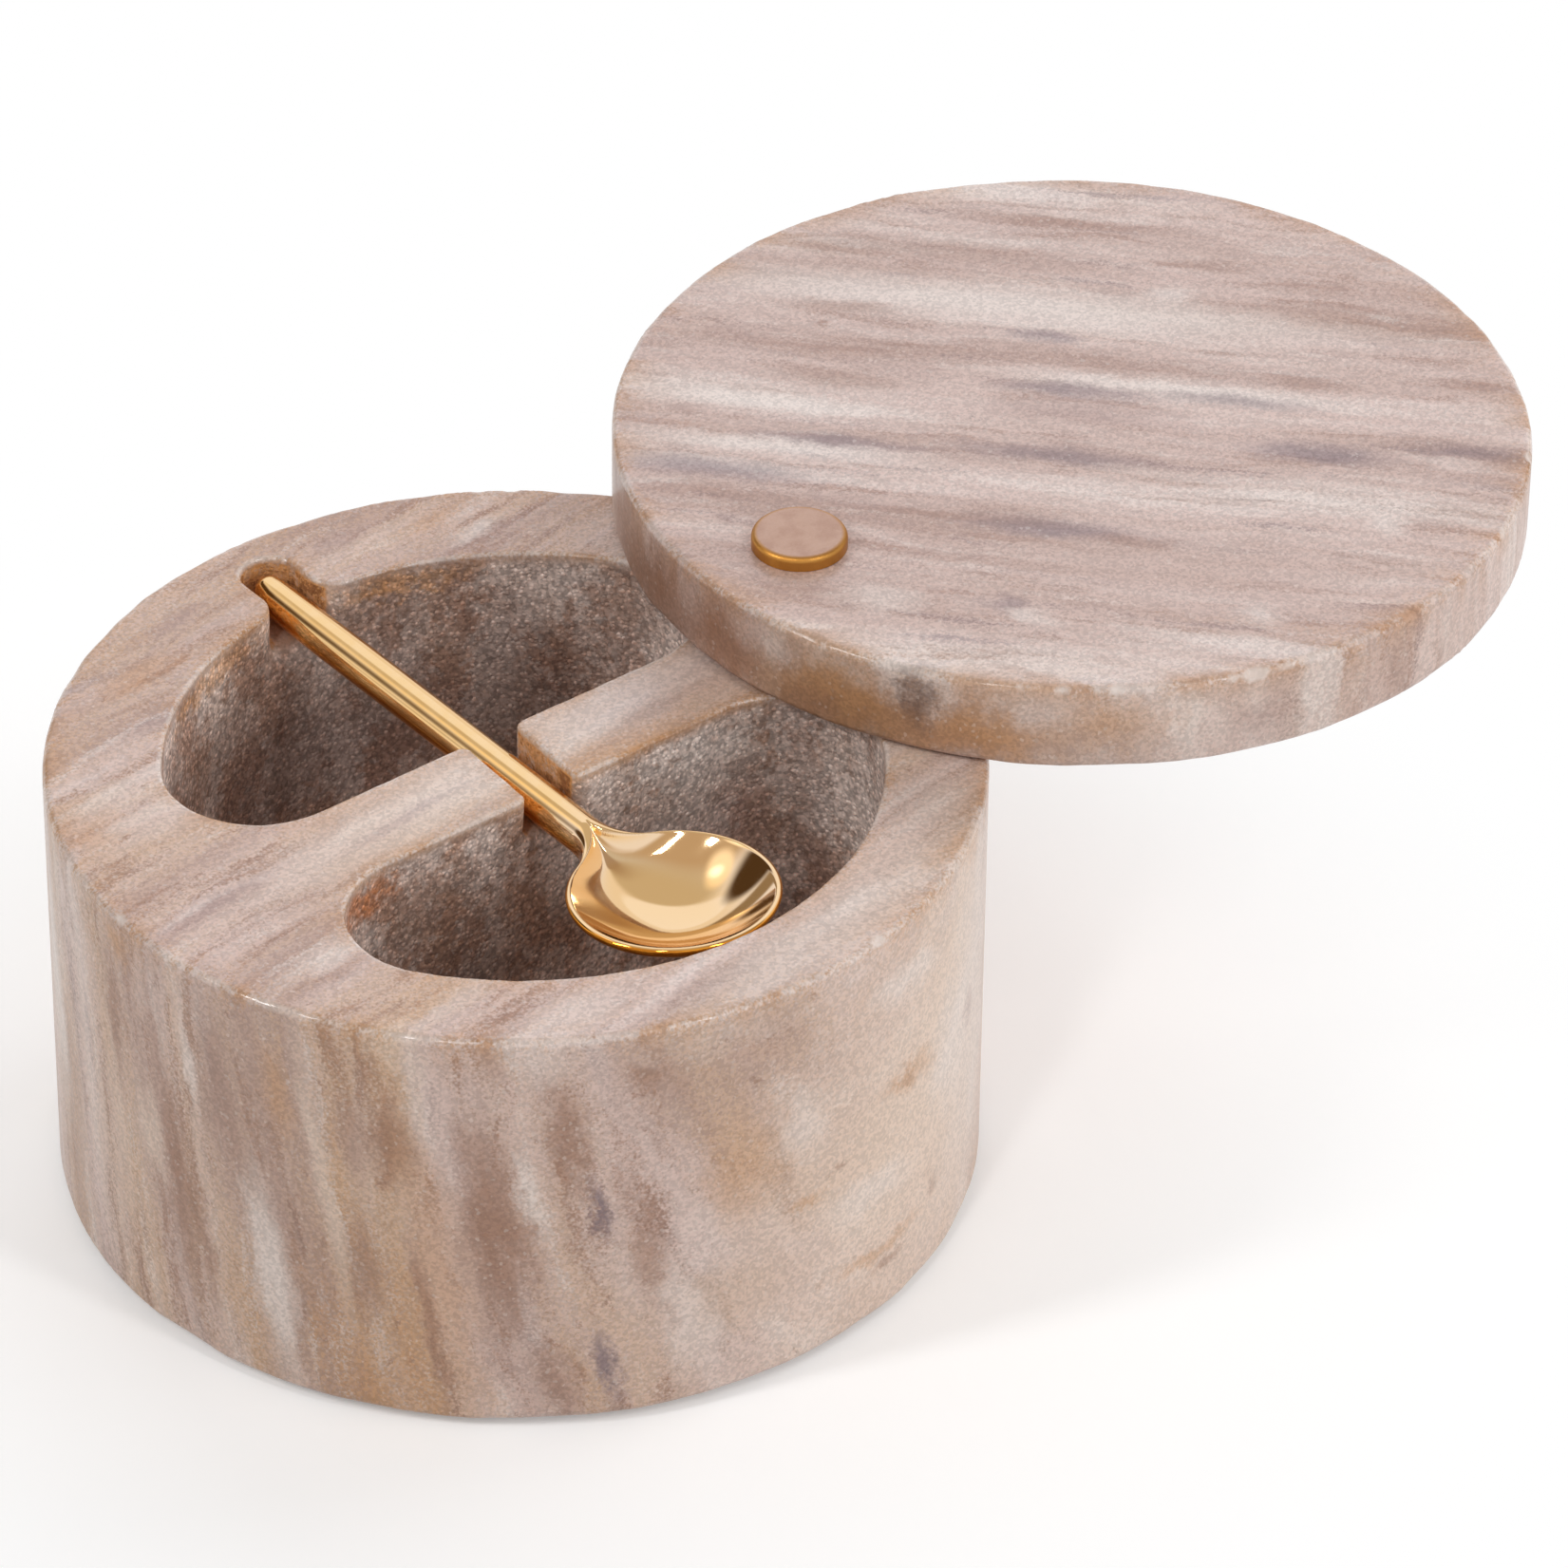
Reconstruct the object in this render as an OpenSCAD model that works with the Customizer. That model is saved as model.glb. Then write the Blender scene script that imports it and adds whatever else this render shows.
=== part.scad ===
/* [Body] */
// Outside diameter of the stone body
body_d = 100; // [94:1:120]
// Height of the stone body
body_h = 50; // [44:1:70]
// Rounding of the body's outer edges
body_edge_r = 0.9; // [0.3:0.1:2]

/* [Wells] */
// Stone left between the wells and the outside
rim_wall = 11.8; // [9:0.1:14]
// How far the pair of wells sits off the body's axis, towards the front
well_shift = 1.3; // [0:0.1:2]
// Thickness of the divider between the wells
divider_t = 11.8; // [9:0.1:16]
// Corner rounding of the wells, seen from above
well_corner_r = 10.4; // [6:0.1:13]
// Depth of the wells
well_depth = 37; // [25:1:40]
// Rounding between a well's wall and its floor
well_floor_r = 6; // [3:0.5:8]

/* [Spoon rest] */
// Stone left between the blind end of the notch and the outside
notch_end_wall = 4; // [2:0.1:6]
// Sideways place of the slot in the divider
slot_x = -0.5; // [-2:0.1:2]
// How far the notch lies to the left of the slot
notch_shift = 0.5; // [0:0.1:0.8]
// Clearance on each side of the handle in the slot
slot_side_gap = 0.95; // [0.6:0.05:2]
// Depth of the handle's top below the rim
handle_sink = 0.8; // [0.6:0.1:1.5]

/* [Lid] */
// How far the lid reaches past the body all round when closed
lid_overhang = 0.3; // [0:0.1:2]
// Thickness of the lid
lid_t = 10.3; // [7:0.1:14]
// Rounding of the lid's outer edges
lid_edge_r = 0.9; // [0.3:0.1:2]

/* [Pivot] */
// Distance of the pivot's axis from the body's outside
pivot_inset = 11.75; // [10:0.05:14]
// Diameter of the screw's head
head_d = 10.4; // [8.5:0.1:14]
// Thickness of the screw's head
head_t = 1.6; // [0.8:0.1:2.4]
// Rounding of the head's top edge
head_edge_r = 0.6; // [0.1:0.1:0.8]
// Diameter of the screw's smooth shoulder
shoulder_d = 6; // [5:0.1:7]
// Diameter of the screw's threaded end
thread_d = 4; // [3:0.1:4.5]
// Length of the screw's threaded end
thread_len = 10; // [6:0.5:12]
// Wall of the threaded insert
insert_wall = 1.6; // [1:0.1:2]
// Length of the threaded insert
insert_len = 13; // [13:0.5:16]
// Outside diameter of the spacer washer
washer_d = 14; // [9:0.5:16]
// Thickness of the spacer washer
washer_t = 0.3; // [0.2:0.05:1]

/* [Spoon] */
// Diameter of the handle
handle_d = 4.4; // [4:0.1:5]
// Diameter of the handle at its tip
handle_tip_d = 3.4; // [2.5:0.1:3.9]
// Length over which the handle tapers to its tip
taper_len = 14; // [6:1:30]
// Outside diameter of the bowl's rim
bowl_d = 22.6; // [19:0.1:24]
// Inside depth of the bowl
bowl_depth = 4.7; // [3:0.1:6.5]
// Tilt of the bowl, tip upwards, in degrees
bowl_tilt = 3.5; // [0:0.5:4]
// Depth of the rim's middle below the handle's top
bowl_sink = 0.3; // [0:0.1:1]
// Thickness of the bowl's wall and of its round edge
bowl_t = 0.8; // [0.7:0.1:1.2]
// Width of the bowl's flat rim
bowl_rim_w = 0.6; // [0.5:0.1:1.5]
// Radius of the hollow curve between handle and rim
neck_r = 5.5; // [4:0.5:10]
// Clearance between the handle's tip and the notch's end
tip_gap = 1.1; // [0.8:0.1:3]
// Clearance between the bowl and the front well's wall
bowl_gap = 0.3; // [0.3:0.1:2]
// Clearance between the handle and the floor of its slot
rest_gap = 0.25; // [0.2:0.05:0.5]

/* [Foot pad] */
// How far the pad stays inside the body's outside
pad_inset = 5; // [3:0.5:12]
// Thickness of the pad
pad_t = 1; // [0.5:0.1:2]

/* [Fits] */
// Clearance round the shoulder, in the lid and in the washer
running_gap = 0.05; // [0.02:0.01:0.1]
// Clearance between the screw's threaded end and the insert
thread_gap = 0.05; // [0.02:0.01:0.1]
// Clearance between the screw's head and the lid
head_gap = 0.05; // [0.02:0.01:0.1]
// Film of glue round the insert in its hole
bond_gap = 0.1; // [0.05:0.01:0.2]

/* [Hidden] */
$fn = 96;

// Overrun of a cut past the face it opens
over = 1;
// Thickness of the slices that a rounded well is drawn over
slice_t = 0.02;
// Chamfer at the screw's lower end
thread_chamfer = 0.5;
// Steps of the curve between a well's wall and its floor
FLOOR_STEPS = 6;
// Points round half a section of the spoon
SECTION_STEPS = 20;
// Stations along the spoon's tip, handle, neck and bowl
TIP_STEPS = 6;
HANDLE_STEPS = 8;
NECK_STEPS = 12;
BOWL_STEPS = 30;

body_r = body_d / 2;
body_top = pad_t + body_h;
well_r = body_r - rim_wall;
lid_r = body_r + lid_overhang;
lid_bottom = body_top + washer_t;
lid_top = lid_bottom + lid_t;
pivot_x = body_r - pivot_inset;
insert_d = thread_d + 2 * insert_wall;
shoulder_hole_d = shoulder_d + 2 * running_gap;
slot_w = handle_d + 2 * slot_side_gap;
slot_depth = handle_sink + handle_d + rest_gap;
notch_x = slot_x - notch_shift;
slot_end_y = body_r - notch_end_wall;

// The spoon runs from the notch's blind end to the front well's wall
spoon_back_y = slot_end_y - tip_gap;
spoon_front_y = -well_r - well_shift + bowl_gap;
spoon_len = spoon_back_y - spoon_front_y;
spoon_top = body_top - handle_sink;
tip_r = handle_tip_d / 2;
handle_r = handle_d / 2;
bowl_r = bowl_d / 2;
bowl_u = spoon_len - bowl_r;
neck_span = sqrt(pow(bowl_r + neck_r, 2) - pow(handle_r + neck_r, 2));
neck_u = bowl_u - neck_span;
join_u = bowl_u - neck_span * bowl_r / (bowl_r + neck_r);
bowl_in_r = bowl_r - bowl_rim_w;
spoon_x = slot_x - notch_shift / 2;

// Half the width of the ridge under the neck, as a share of the handle's radius
ridge_share = 1.4;

// A disc with rounded edges, standing on its underside
module rounded_disc(r, h, low_r, high_r) {
    rotate_extrude()
        union() {
            polygon([[0, 0], [r - low_r, 0], [r, low_r], [r, h - high_r], [r - high_r, h], [0, h]]);
            if (low_r > 0)
                intersection() {
                    translate([r - low_r, low_r]) circle(r = low_r);
                    translate([r - low_r, 0]) square([low_r, low_r]);
                }
            intersection() {
                translate([r - high_r, h - high_r]) circle(r = high_r);
                translate([r - high_r, h - high_r]) square([high_r, high_r]);
            }
        }
}

// Outline of the front well, drawn in from its walls by inset
module well_outline(inset) {
    r = well_r - inset;
    corner_r = well_corner_r - inset;
    flat_y = divider_t / 2 + inset;
    corner_y = flat_y + corner_r;
    corner_x = sqrt(pow(r - corner_r, 2) - pow(corner_y, 2));
    intersection() {
        circle(r = r);
        polygon([
            [0, 0],
            [-corner_x, -corner_y] * 2,
            [0, -2 * well_r],
            [corner_x, -corner_y] * 2
        ]);
        translate([-well_r, -2 * well_r]) square([2 * well_r, 2 * well_r - flat_y]);
    }
    for (side = [-1, 1])
        translate([side * corner_x, -corner_y]) circle(r = corner_r);
    translate([-corner_x, -corner_y]) square([2 * corner_x, corner_r]);
}

// Cut for the front well: straight walls above, rounded into the floor below
module well_cut() {
    translate([0, 0, body_top - well_depth + well_floor_r])
        linear_extrude(well_depth - well_floor_r + over)
            well_outline(0);
    translate([0, 0, body_top - well_depth])
        hull()
            for (i = [0 : FLOOR_STEPS]) {
                turn = 90 * i / FLOOR_STEPS;
                translate([0, 0, well_floor_r * (1 - sin(turn))])
                    linear_extrude(slice_t)
                        well_outline(well_floor_r * (1 - cos(turn)), $fn = 48);
            }
}

// Slot across the divider and its blind notch in the rear rim
module slot_cut() {
    end_r = slot_w / 2;
    start_y = -divider_t / 2 - well_shift - over;
    middle_y = well_r / 2;
    translate([slot_x - end_r, start_y, body_top - slot_depth])
        cube([slot_w, middle_y - start_y, slot_depth + over]);
    translate([notch_x - end_r, middle_y, body_top - slot_depth])
        cube([slot_w, slot_end_y - end_r - middle_y, slot_depth + over]);
    translate([notch_x, slot_end_y - end_r, body_top - slot_depth])
        cylinder(r = end_r, h = slot_depth + over);
}

module base() {
    color("tan")
    difference() {
        translate([0, 0, pad_t])
            rounded_disc(body_r, body_h, body_edge_r, body_edge_r);
        translate([0, -well_shift, 0]) {
            well_cut();
            mirror([0, 1, 0]) well_cut();
        }
        slot_cut();
        translate([pivot_x, 0, body_top - insert_len])
            cylinder(r = insert_d / 2 + bond_gap, h = insert_len + over);
    }
}

module lid() {
    color("rosybrown")
    difference() {
        translate([2 * pivot_x, 0, lid_bottom])
            rounded_disc(lid_r, lid_t, lid_edge_r, lid_edge_r);
        translate([pivot_x, 0, lid_bottom - over])
            cylinder(d = shoulder_hole_d, h = lid_t + 2 * over);
    }
}

module pivot_screw() {
    shoulder_len = washer_t + lid_t + head_gap;
    thread_r = thread_d / 2 - thread_gap;
    color("peru")
    translate([pivot_x, 0, body_top])
        union() {
            translate([0, 0, shoulder_len])
                rounded_disc(head_d / 2, head_t, 0, head_edge_r);
            cylinder(d = shoulder_d, h = shoulder_len);
            translate([0, 0, thread_chamfer - thread_len])
                cylinder(r = thread_r, h = thread_len - thread_chamfer);
            translate([0, 0, -thread_len])
                cylinder(r1 = thread_r - thread_chamfer, r2 = thread_r, h = thread_chamfer);
        }
}

module threaded_insert() {
    color("goldenrod")
    translate([pivot_x, 0, body_top - insert_len])
        difference() {
            cylinder(d = insert_d, h = insert_len);
            translate([0, 0, -over])
                cylinder(d = thread_d, h = insert_len + 2 * over);
        }
}

module spacer_washer() {
    color("whitesmoke")
    translate([pivot_x, 0, body_top])
        difference() {
            cylinder(d = washer_d, h = washer_t);
            translate([0, 0, -over])
                cylinder(d = shoulder_hole_d, h = washer_t + 2 * over);
        }
}

module foot_pad() {
    color("dimgray")
    cylinder(r = body_r - pad_inset, h = pad_t);
}

// Smooth step from 0 at a to 1 at b
function ease(a, b, x) = let (t = min(1, max(0, (x - a) / (b - a)))) t * t * (3 - 2 * t);

// Half the spoon's width, u along it from the handle's tip
function half_width(u) =
    u < tip_r ? sqrt(max(0, tip_r * tip_r - pow(tip_r - u, 2))) :
    u < neck_u ? tip_r + (handle_r - tip_r) * ease(tip_r - taper_len, taper_len, u) :
    u < join_u ? handle_r + neck_r - sqrt(pow(neck_r, 2) - pow(u - neck_u, 2)) :
    sqrt(max(0, bowl_r * bowl_r - pow(u - bowl_u, 2)));

// How far a point lies inside the spoon's outline
function inside(u, v) =
    u < tip_r ? tip_r - norm([tip_r - u, v]) :
    u < neck_u ? half_width(u) - abs(v) :
    u < join_u ? norm([u - neck_u, handle_r + neck_r - abs(v)]) - neck_r :
    bowl_r - norm([u - bowl_u, v]);

// Radius of the edge: round all over on the handle, half the wall on the rim
function edge_r(u) =
    u < tip_r ? tip_r :
    u < neck_u ? half_width(u) :
    handle_r + (bowl_t / 2 - handle_r) * ease(neck_u, join_u, u);

// Drop of the rounded edge below the top at a point
function edge_drop(u, v) =
    let (e = edge_r(u), d = min(1, max(0, inside(u, v) / e)))
    e * (1 - sqrt(max(0, 1 - pow(1 - d, 2))));

// Half the width of the hollow, which runs up into the neck as a narrow trough
function hollow_half(u) =
    let (trough = (half_width(u) - bowl_rim_w) * ease(neck_u, join_u, u))
    max(sqrt(max(0, pow(bowl_in_r, 2) - pow(u - bowl_u, 2))), u < join_u ? trough : 0);

// Depth of the dish along the spoon's middle, drawn out towards the neck
function dish(u) =
    u < neck_u ? 0 :
    bowl_depth * (1 - pow((u - bowl_u) / (u < bowl_u ? neck_span : bowl_r), 2));

// Depth of a dish's section at v across it, from its half width and its depth in the middle
function section(half, depth, v) = half > 0 ? depth * max(0, 1 - pow(v / half, 2)) : 0;

// Depth of the hollow at a point
function hollow(u, v) =
    let (half = hollow_half(u))
    section(half, u < bowl_u ? dish(u) : bowl_depth * pow(half / bowl_in_r, 2), v);

// Depth that the bowl's back and the handle's ridge add under the edge
function back(u, v) =
    let (belly = section(half_width(u), dish(u), v),
         ridge_height = 2 * (handle_r - edge_r(u)) * (1 - ease(neck_u, bowl_u, u)),
         ridge = section(ridge_share * handle_r, 1, v))
    norm([belly, ridge_height * ridge * ridge]);

// Height of the line that the top surface follows, level on the handle and tilted on the bowl
function top_line(u) = ((u - bowl_u) * tan(bowl_tilt) - bowl_sink) * ease(neck_u, join_u, u);

function top_at(u, v) = top_line(u) - edge_drop(u, v) - hollow(u, v);
function bottom_at(u, v) = top_line(u) - 2 * edge_r(u) + edge_drop(u, v) - back(u, v);

// One ring of points round the spoon, over the top and back underneath
function ring(u) =
    let (b = half_width(u))
    [for (i = [0 : 2 * SECTION_STEPS - 1])
        let (turn = 180 * i / SECTION_STEPS, v = b * cos(turn))
        [v, -u, i == 0 || i == SECTION_STEPS ? top_line(u) - edge_r(u) :
            i < SECTION_STEPS ? top_at(u, v) : bottom_at(u, v)]];

function arc_steps(a, b, n) = [for (i = [1 : n]) a + (b - a) * (1 - cos(90 * i / n))];
function even_steps(a, b, n) = [for (i = [1 : n]) a + (b - a) * i / n];

stations = concat(
    arc_steps(0, tip_r, TIP_STEPS),
    even_steps(tip_r, neck_u, HANDLE_STEPS),
    even_steps(neck_u, join_u, NECK_STEPS),
    even_steps(join_u, bowl_u, BOWL_STEPS / 3),
    [for (i = [1 : BOWL_STEPS - 1]) bowl_u + bowl_r * sin(90 * i / BOWL_STEPS)]
);

module spoon() {
    n = 2 * SECTION_STEPS;
    rings = [for (u = stations) ring(u)];
    last = len(rings) - 1;
    points = concat(
        [[0, 0, -tip_r]],
        [for (r = rings) each r],
        [[0, -spoon_len, top_line(spoon_len) - bowl_t / 2]]
    );
    front = len(points) - 1;
    faces = concat(
        [for (i = [0 : n - 1]) [0, 1 + (i + 1) % n, 1 + i]],
        [for (k = [0 : last - 1], i = [0 : n - 1]) each
            let (a = 1 + k * n + i, b = 1 + k * n + (i + 1) % n)
            [[a, b, b + n], [a, b + n, a + n]]],
        [for (i = [0 : n - 1]) [front, 1 + last * n + i, 1 + last * n + (i + 1) % n]]
    );
    color("gold")
    translate([spoon_x, spoon_back_y, spoon_top])
        polyhedron(points, faces);
}

base();
lid();
pivot_screw();
threaded_insert();
spacer_washer();
spoon();
foot_pad();
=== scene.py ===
import math

import bpy
import numpy as np
from mathutils import Euler, Matrix, Vector


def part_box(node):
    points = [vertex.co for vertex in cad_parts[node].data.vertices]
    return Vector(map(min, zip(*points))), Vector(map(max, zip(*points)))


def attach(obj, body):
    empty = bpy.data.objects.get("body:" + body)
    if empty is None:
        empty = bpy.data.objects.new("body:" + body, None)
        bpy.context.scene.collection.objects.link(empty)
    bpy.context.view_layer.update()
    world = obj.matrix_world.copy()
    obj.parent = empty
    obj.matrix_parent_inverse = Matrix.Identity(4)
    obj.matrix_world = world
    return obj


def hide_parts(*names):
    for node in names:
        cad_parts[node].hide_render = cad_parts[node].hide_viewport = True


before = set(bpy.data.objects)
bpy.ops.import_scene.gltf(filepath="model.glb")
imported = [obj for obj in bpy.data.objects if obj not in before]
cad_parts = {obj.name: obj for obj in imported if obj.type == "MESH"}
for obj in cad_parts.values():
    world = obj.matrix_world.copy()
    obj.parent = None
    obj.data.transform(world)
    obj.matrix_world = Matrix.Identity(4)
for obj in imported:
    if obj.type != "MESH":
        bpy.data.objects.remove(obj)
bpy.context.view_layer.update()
scene = bpy.context.scene

# Millimetres in metres
MM = 0.001

# The photograph's view: where the camera stands, where it looks and how long its lens is
CAMERA_AT = Vector((-0.4579, -0.6073, 0.6023))
CAMERA_HEADING = math.radians(39.15)
CAMERA_DROP = math.radians(36.13)
CAMERA_ROLL = math.radians(0.695)
CAMERA_LENS = 204.0
SENSOR = 36.0


def aim_camera():
    """The camera at the photograph's viewing angle"""
    data = bpy.data.cameras.new("photo_view")
    data.lens = CAMERA_LENS
    data.sensor_width = SENSOR
    data.clip_start = 0.01
    data.clip_end = 20
    camera = bpy.data.objects.new("photo_view", data)
    scene.collection.objects.link(camera)
    turn = Matrix.Rotation(-CAMERA_HEADING, 4, "Z")
    tilt = Matrix.Rotation(math.radians(90) - CAMERA_DROP, 4, "X")
    roll = Matrix.Rotation(CAMERA_ROLL, 4, "Z")
    camera.matrix_world = Matrix.Translation(CAMERA_AT) @ turn @ tilt @ roll
    scene.camera = camera


# Sizes of the pieces in millimetres, read from the frame


def node_box(node):
    """Lowest and highest corner of a node, in millimetres"""
    low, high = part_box(node)
    return np.array(low) / MM, np.array(high) / MM


base_low, base_high = node_box("base")
lid_low, lid_high = node_box("lid")
spoon_low, spoon_high = node_box("spoon")
screw_low, screw_high = node_box("pivot_screw")

BODY_R = base_high[0]
BODY_TOP = base_high[2]
LID_R = (lid_high[0] - lid_low[0]) / 2
LID_X = (lid_high[0] + lid_low[0]) / 2
PIVOT_X = (screw_high[0] + screw_low[0]) / 2

# Cuts in the stone, in millimetres, as in the part's own source
WELL_R = 38.2
WELL_SHIFT = 1.3
DIVIDER_HALF = 5.9
WELL_CORNER_R = 10.4
WELL_FLOOR_R = 6.0
WELL_FLOOR_Z = BODY_TOP - 37.0
SLOT_HALF = 3.15
SLOT_FLOOR_Z = BODY_TOP - 5.45
SLOT_FLOOR_R = 0.8
NOTCH_X = -1.0
NOTCH_END_Y = 46.0
# The slot was ground a little askew: its middle line, front and rear
SLOT_FRONT = (-1.15, -12.0)
SLOT_REAR = (0.55, 14.0)
SHOULDER_HOLE_R = 3.05
INSERT_HOLE_R = 3.7
INSERT_DEPTH = 13.0

# Roundness of the stone's worn edges, in millimetres
OUTER_EDGE_R = 0.9
WELL_EDGE_R = 0.4
SLOT_CORNER_R = 1.1
NOTCH_CORNER_R = 3.0
CHIP_EDGE_R = 0.15
# How unevenly an edge is worn: the share, and the size of the uneven places, coarse and fine
COARSE_WEAR_SHARE = 0.45
COARSE_WEAR_SIZE = 7.0
FINE_WEAR_SHARE = 0.25
FINE_WEAR_SIZE = 2.4
# How far chips, well walls and all cut faces wander from an even shape, and over what distance
CHIP_WAVE = 0.12
CHIP_WAVE_SIZE = 0.9
WELL_WAVE = 0.28
WELL_WAVE_SIZE = 3.1
WELL_WAVE_DRAWN = (1, 1, 0.45)
WELL_WAVE_DEPTH = 3.0
CUT_WAVE = 0.07
CUT_WAVE_SIZE = 1.7

# A seed for each unevenness, so that no two look alike; wear takes two
BASE_WEAR_SEED = 1
LID_WEAR_SEED = 3
CHIP_SEED = 5
WELL_WAVE_SEED = 7
CUT_WAVE_SEED = 9
# Large odd numbers that scramble a cell's place into its noise value
NOISE_PRIMES = np.array((374761393, 668265263, 2147483647))
NOISE_SEED_STEP = 144665
NOISE_MIX = 1274126177


# Distances that carve the stone, in millimetres, negative inside


def lattice_noise(points, size, seed):
    """Smooth noise from -1 to 1 with features of a size"""
    scaled = points / size
    corner = np.floor(scaled).astype(np.int64)
    part = scaled - corner
    part = part * part * (3 - 2 * part)
    total = np.zeros(len(points))
    for dx in (0, 1):
        for dy in (0, 1):
            for dz in (0, 1):
                code = (corner + (dx, dy, dz)) @ NOISE_PRIMES + seed * NOISE_SEED_STEP
                code = (code ^ (code >> 13)) * NOISE_MIX
                value = ((code ^ (code >> 16)) & 0xFFFF) / 32767.5 - 1
                total += value * np.abs((1 - dx, 1 - dy, 1 - dz) - part).prod(axis=1)
    return total


def cut_disc(x, y, radius, line):
    """Distance to the part of a disc that lies beyond y = line"""
    x = np.abs(x)
    half = math.sqrt(radius * radius - line * line)
    nearer_arc = (line - radius) * x * x + half * half * (line + radius - 2 * y)
    on_arc = np.maximum(nearer_arc, line * x - half * y) < 0
    flat = np.where(x < half, line - y, np.hypot(x - half, y - line))
    return np.where(on_arc, np.hypot(x, y) - radius, flat)


def pocket(wall, z, floor_z, floor_r):
    """Distance to a pocket open at the top, from the distance to its walls, rounded into its floor"""
    across = wall + floor_r
    down = floor_z + floor_r - z
    outside = np.hypot(np.maximum(across, 0), np.maximum(down, 0))
    return np.minimum(np.maximum(across, down), 0) + outside - floor_r


def capsule(x, y, start, end, radius):
    """Distance to a round-ended stroke from start to end"""
    along = (end[0] - start[0], end[1] - start[1])
    share = ((x - start[0]) * along[0] + (y - start[1]) * along[1]) / (along[0] ** 2 + along[1] ** 2)
    share = np.clip(share, 0, 1)
    return np.hypot(x - start[0] - share * along[0], y - start[1] - share * along[1]) - radius


def round_join(a, b, radius):
    """Union of two cuts whose meeting corners are rounded"""
    bend = np.hypot(np.maximum(radius - a, 0), np.maximum(radius - b, 0))
    return np.maximum(radius, np.minimum(a, b)) - bend


def round_keep(a, b, radius):
    """Part that lies in both, with its edges rounded"""
    bend = np.hypot(np.maximum(radius + a, 0), np.maximum(radius + b, 0))
    return np.minimum(-radius, np.maximum(a, b)) + bend


def well(points, side):
    """Distance to the front well, side -1, or the rear well, side 1"""
    across = side * (points[:, 1] + WELL_SHIFT)
    wall = cut_disc(points[:, 0], across, WELL_R - WELL_CORNER_R, DIVIDER_HALF + WELL_CORNER_R)
    return pocket(wall - WELL_CORNER_R, points[:, 2], WELL_FLOOR_Z, WELL_FLOOR_R)


def wells(points):
    """Distance to both wells"""
    return np.minimum(well(points, -1), well(points, 1))


def slot_plan(points):
    """Distance to the slot's outline, seen from above"""
    return capsule(points[:, 0], points[:, 1], SLOT_FRONT, SLOT_REAR, SLOT_HALF)


def notch_plan(points):
    """Distance to the notch's outline, seen from above"""
    end = (NOTCH_X, NOTCH_END_Y - SLOT_HALF)
    start = (NOTCH_X, end[1] / 2)
    return capsule(points[:, 0], points[:, 1], start, end, SLOT_HALF)


def pivot_hole(points, radius):
    """Distance to an endless hole round the pivot's axis"""
    return np.hypot(points[:, 0] - PIVOT_X, points[:, 1]) - radius


def wear(points, seed):
    """How much more or less an edge is worn than the rest, as a share"""
    coarse = COARSE_WEAR_SHARE * lattice_noise(points, COARSE_WEAR_SIZE, seed)
    fine = FINE_WEAR_SHARE * lattice_noise(points, FINE_WEAR_SIZE, seed + 1)
    return 1 + coarse + fine


def nicks(points, places):
    """Distance to small chips struck out of an edge; each is (x, y, z, radius)"""
    nearest = np.full(len(points), 1e3)
    for x, y, z, radius in places:
        nearest = np.minimum(nearest, np.linalg.norm(points - (x, y, z), axis=1) - radius)
    return nearest + CHIP_WAVE * lattice_noise(points, CHIP_WAVE_SIZE, CHIP_SEED)


def edge_chips(count, centre_x, radius, z, seed, biggest, start=0, end=360):
    """Places of the chips along a round edge from start to end degrees, drawn from a seeded generator"""
    draw = np.random.default_rng(seed)
    places = []
    for _ in range(count):
        angle = math.radians(draw.uniform(start, end))
        size = biggest * draw.uniform(0.35, 1) ** 2
        out = radius + size * draw.uniform(0.35, 0.6)
        lift = size * draw.uniform(0.3, 0.6)
        places.append((centre_x + out * math.cos(angle), out * math.sin(angle), z + lift, size))
    return places


BASE_CHIPS = edge_chips(26, 0, BODY_R, BODY_TOP, 11, 1.5)
LID_CHIPS = edge_chips(24, LID_X, LID_R, lid_high[2], 23, 1.4)
LID_CHIPS += edge_chips(16, LID_X, LID_R, lid_high[2], 31, 2.0, -138, -92)


def disc(points, centre_x, radius, low_z, high_z, edge):
    """Distance to an upright disc with rounded edges; edge may differ from point to point"""
    across = np.hypot(points[:, 0] - centre_x, points[:, 1]) - (radius - edge)
    up = np.abs(points[:, 2] - (low_z + high_z) / 2) - ((high_z - low_z) / 2 - edge)
    outside = np.hypot(np.maximum(across, 0), np.maximum(up, 0))
    return np.minimum(np.maximum(across, up), 0) + outside - edge


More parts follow.
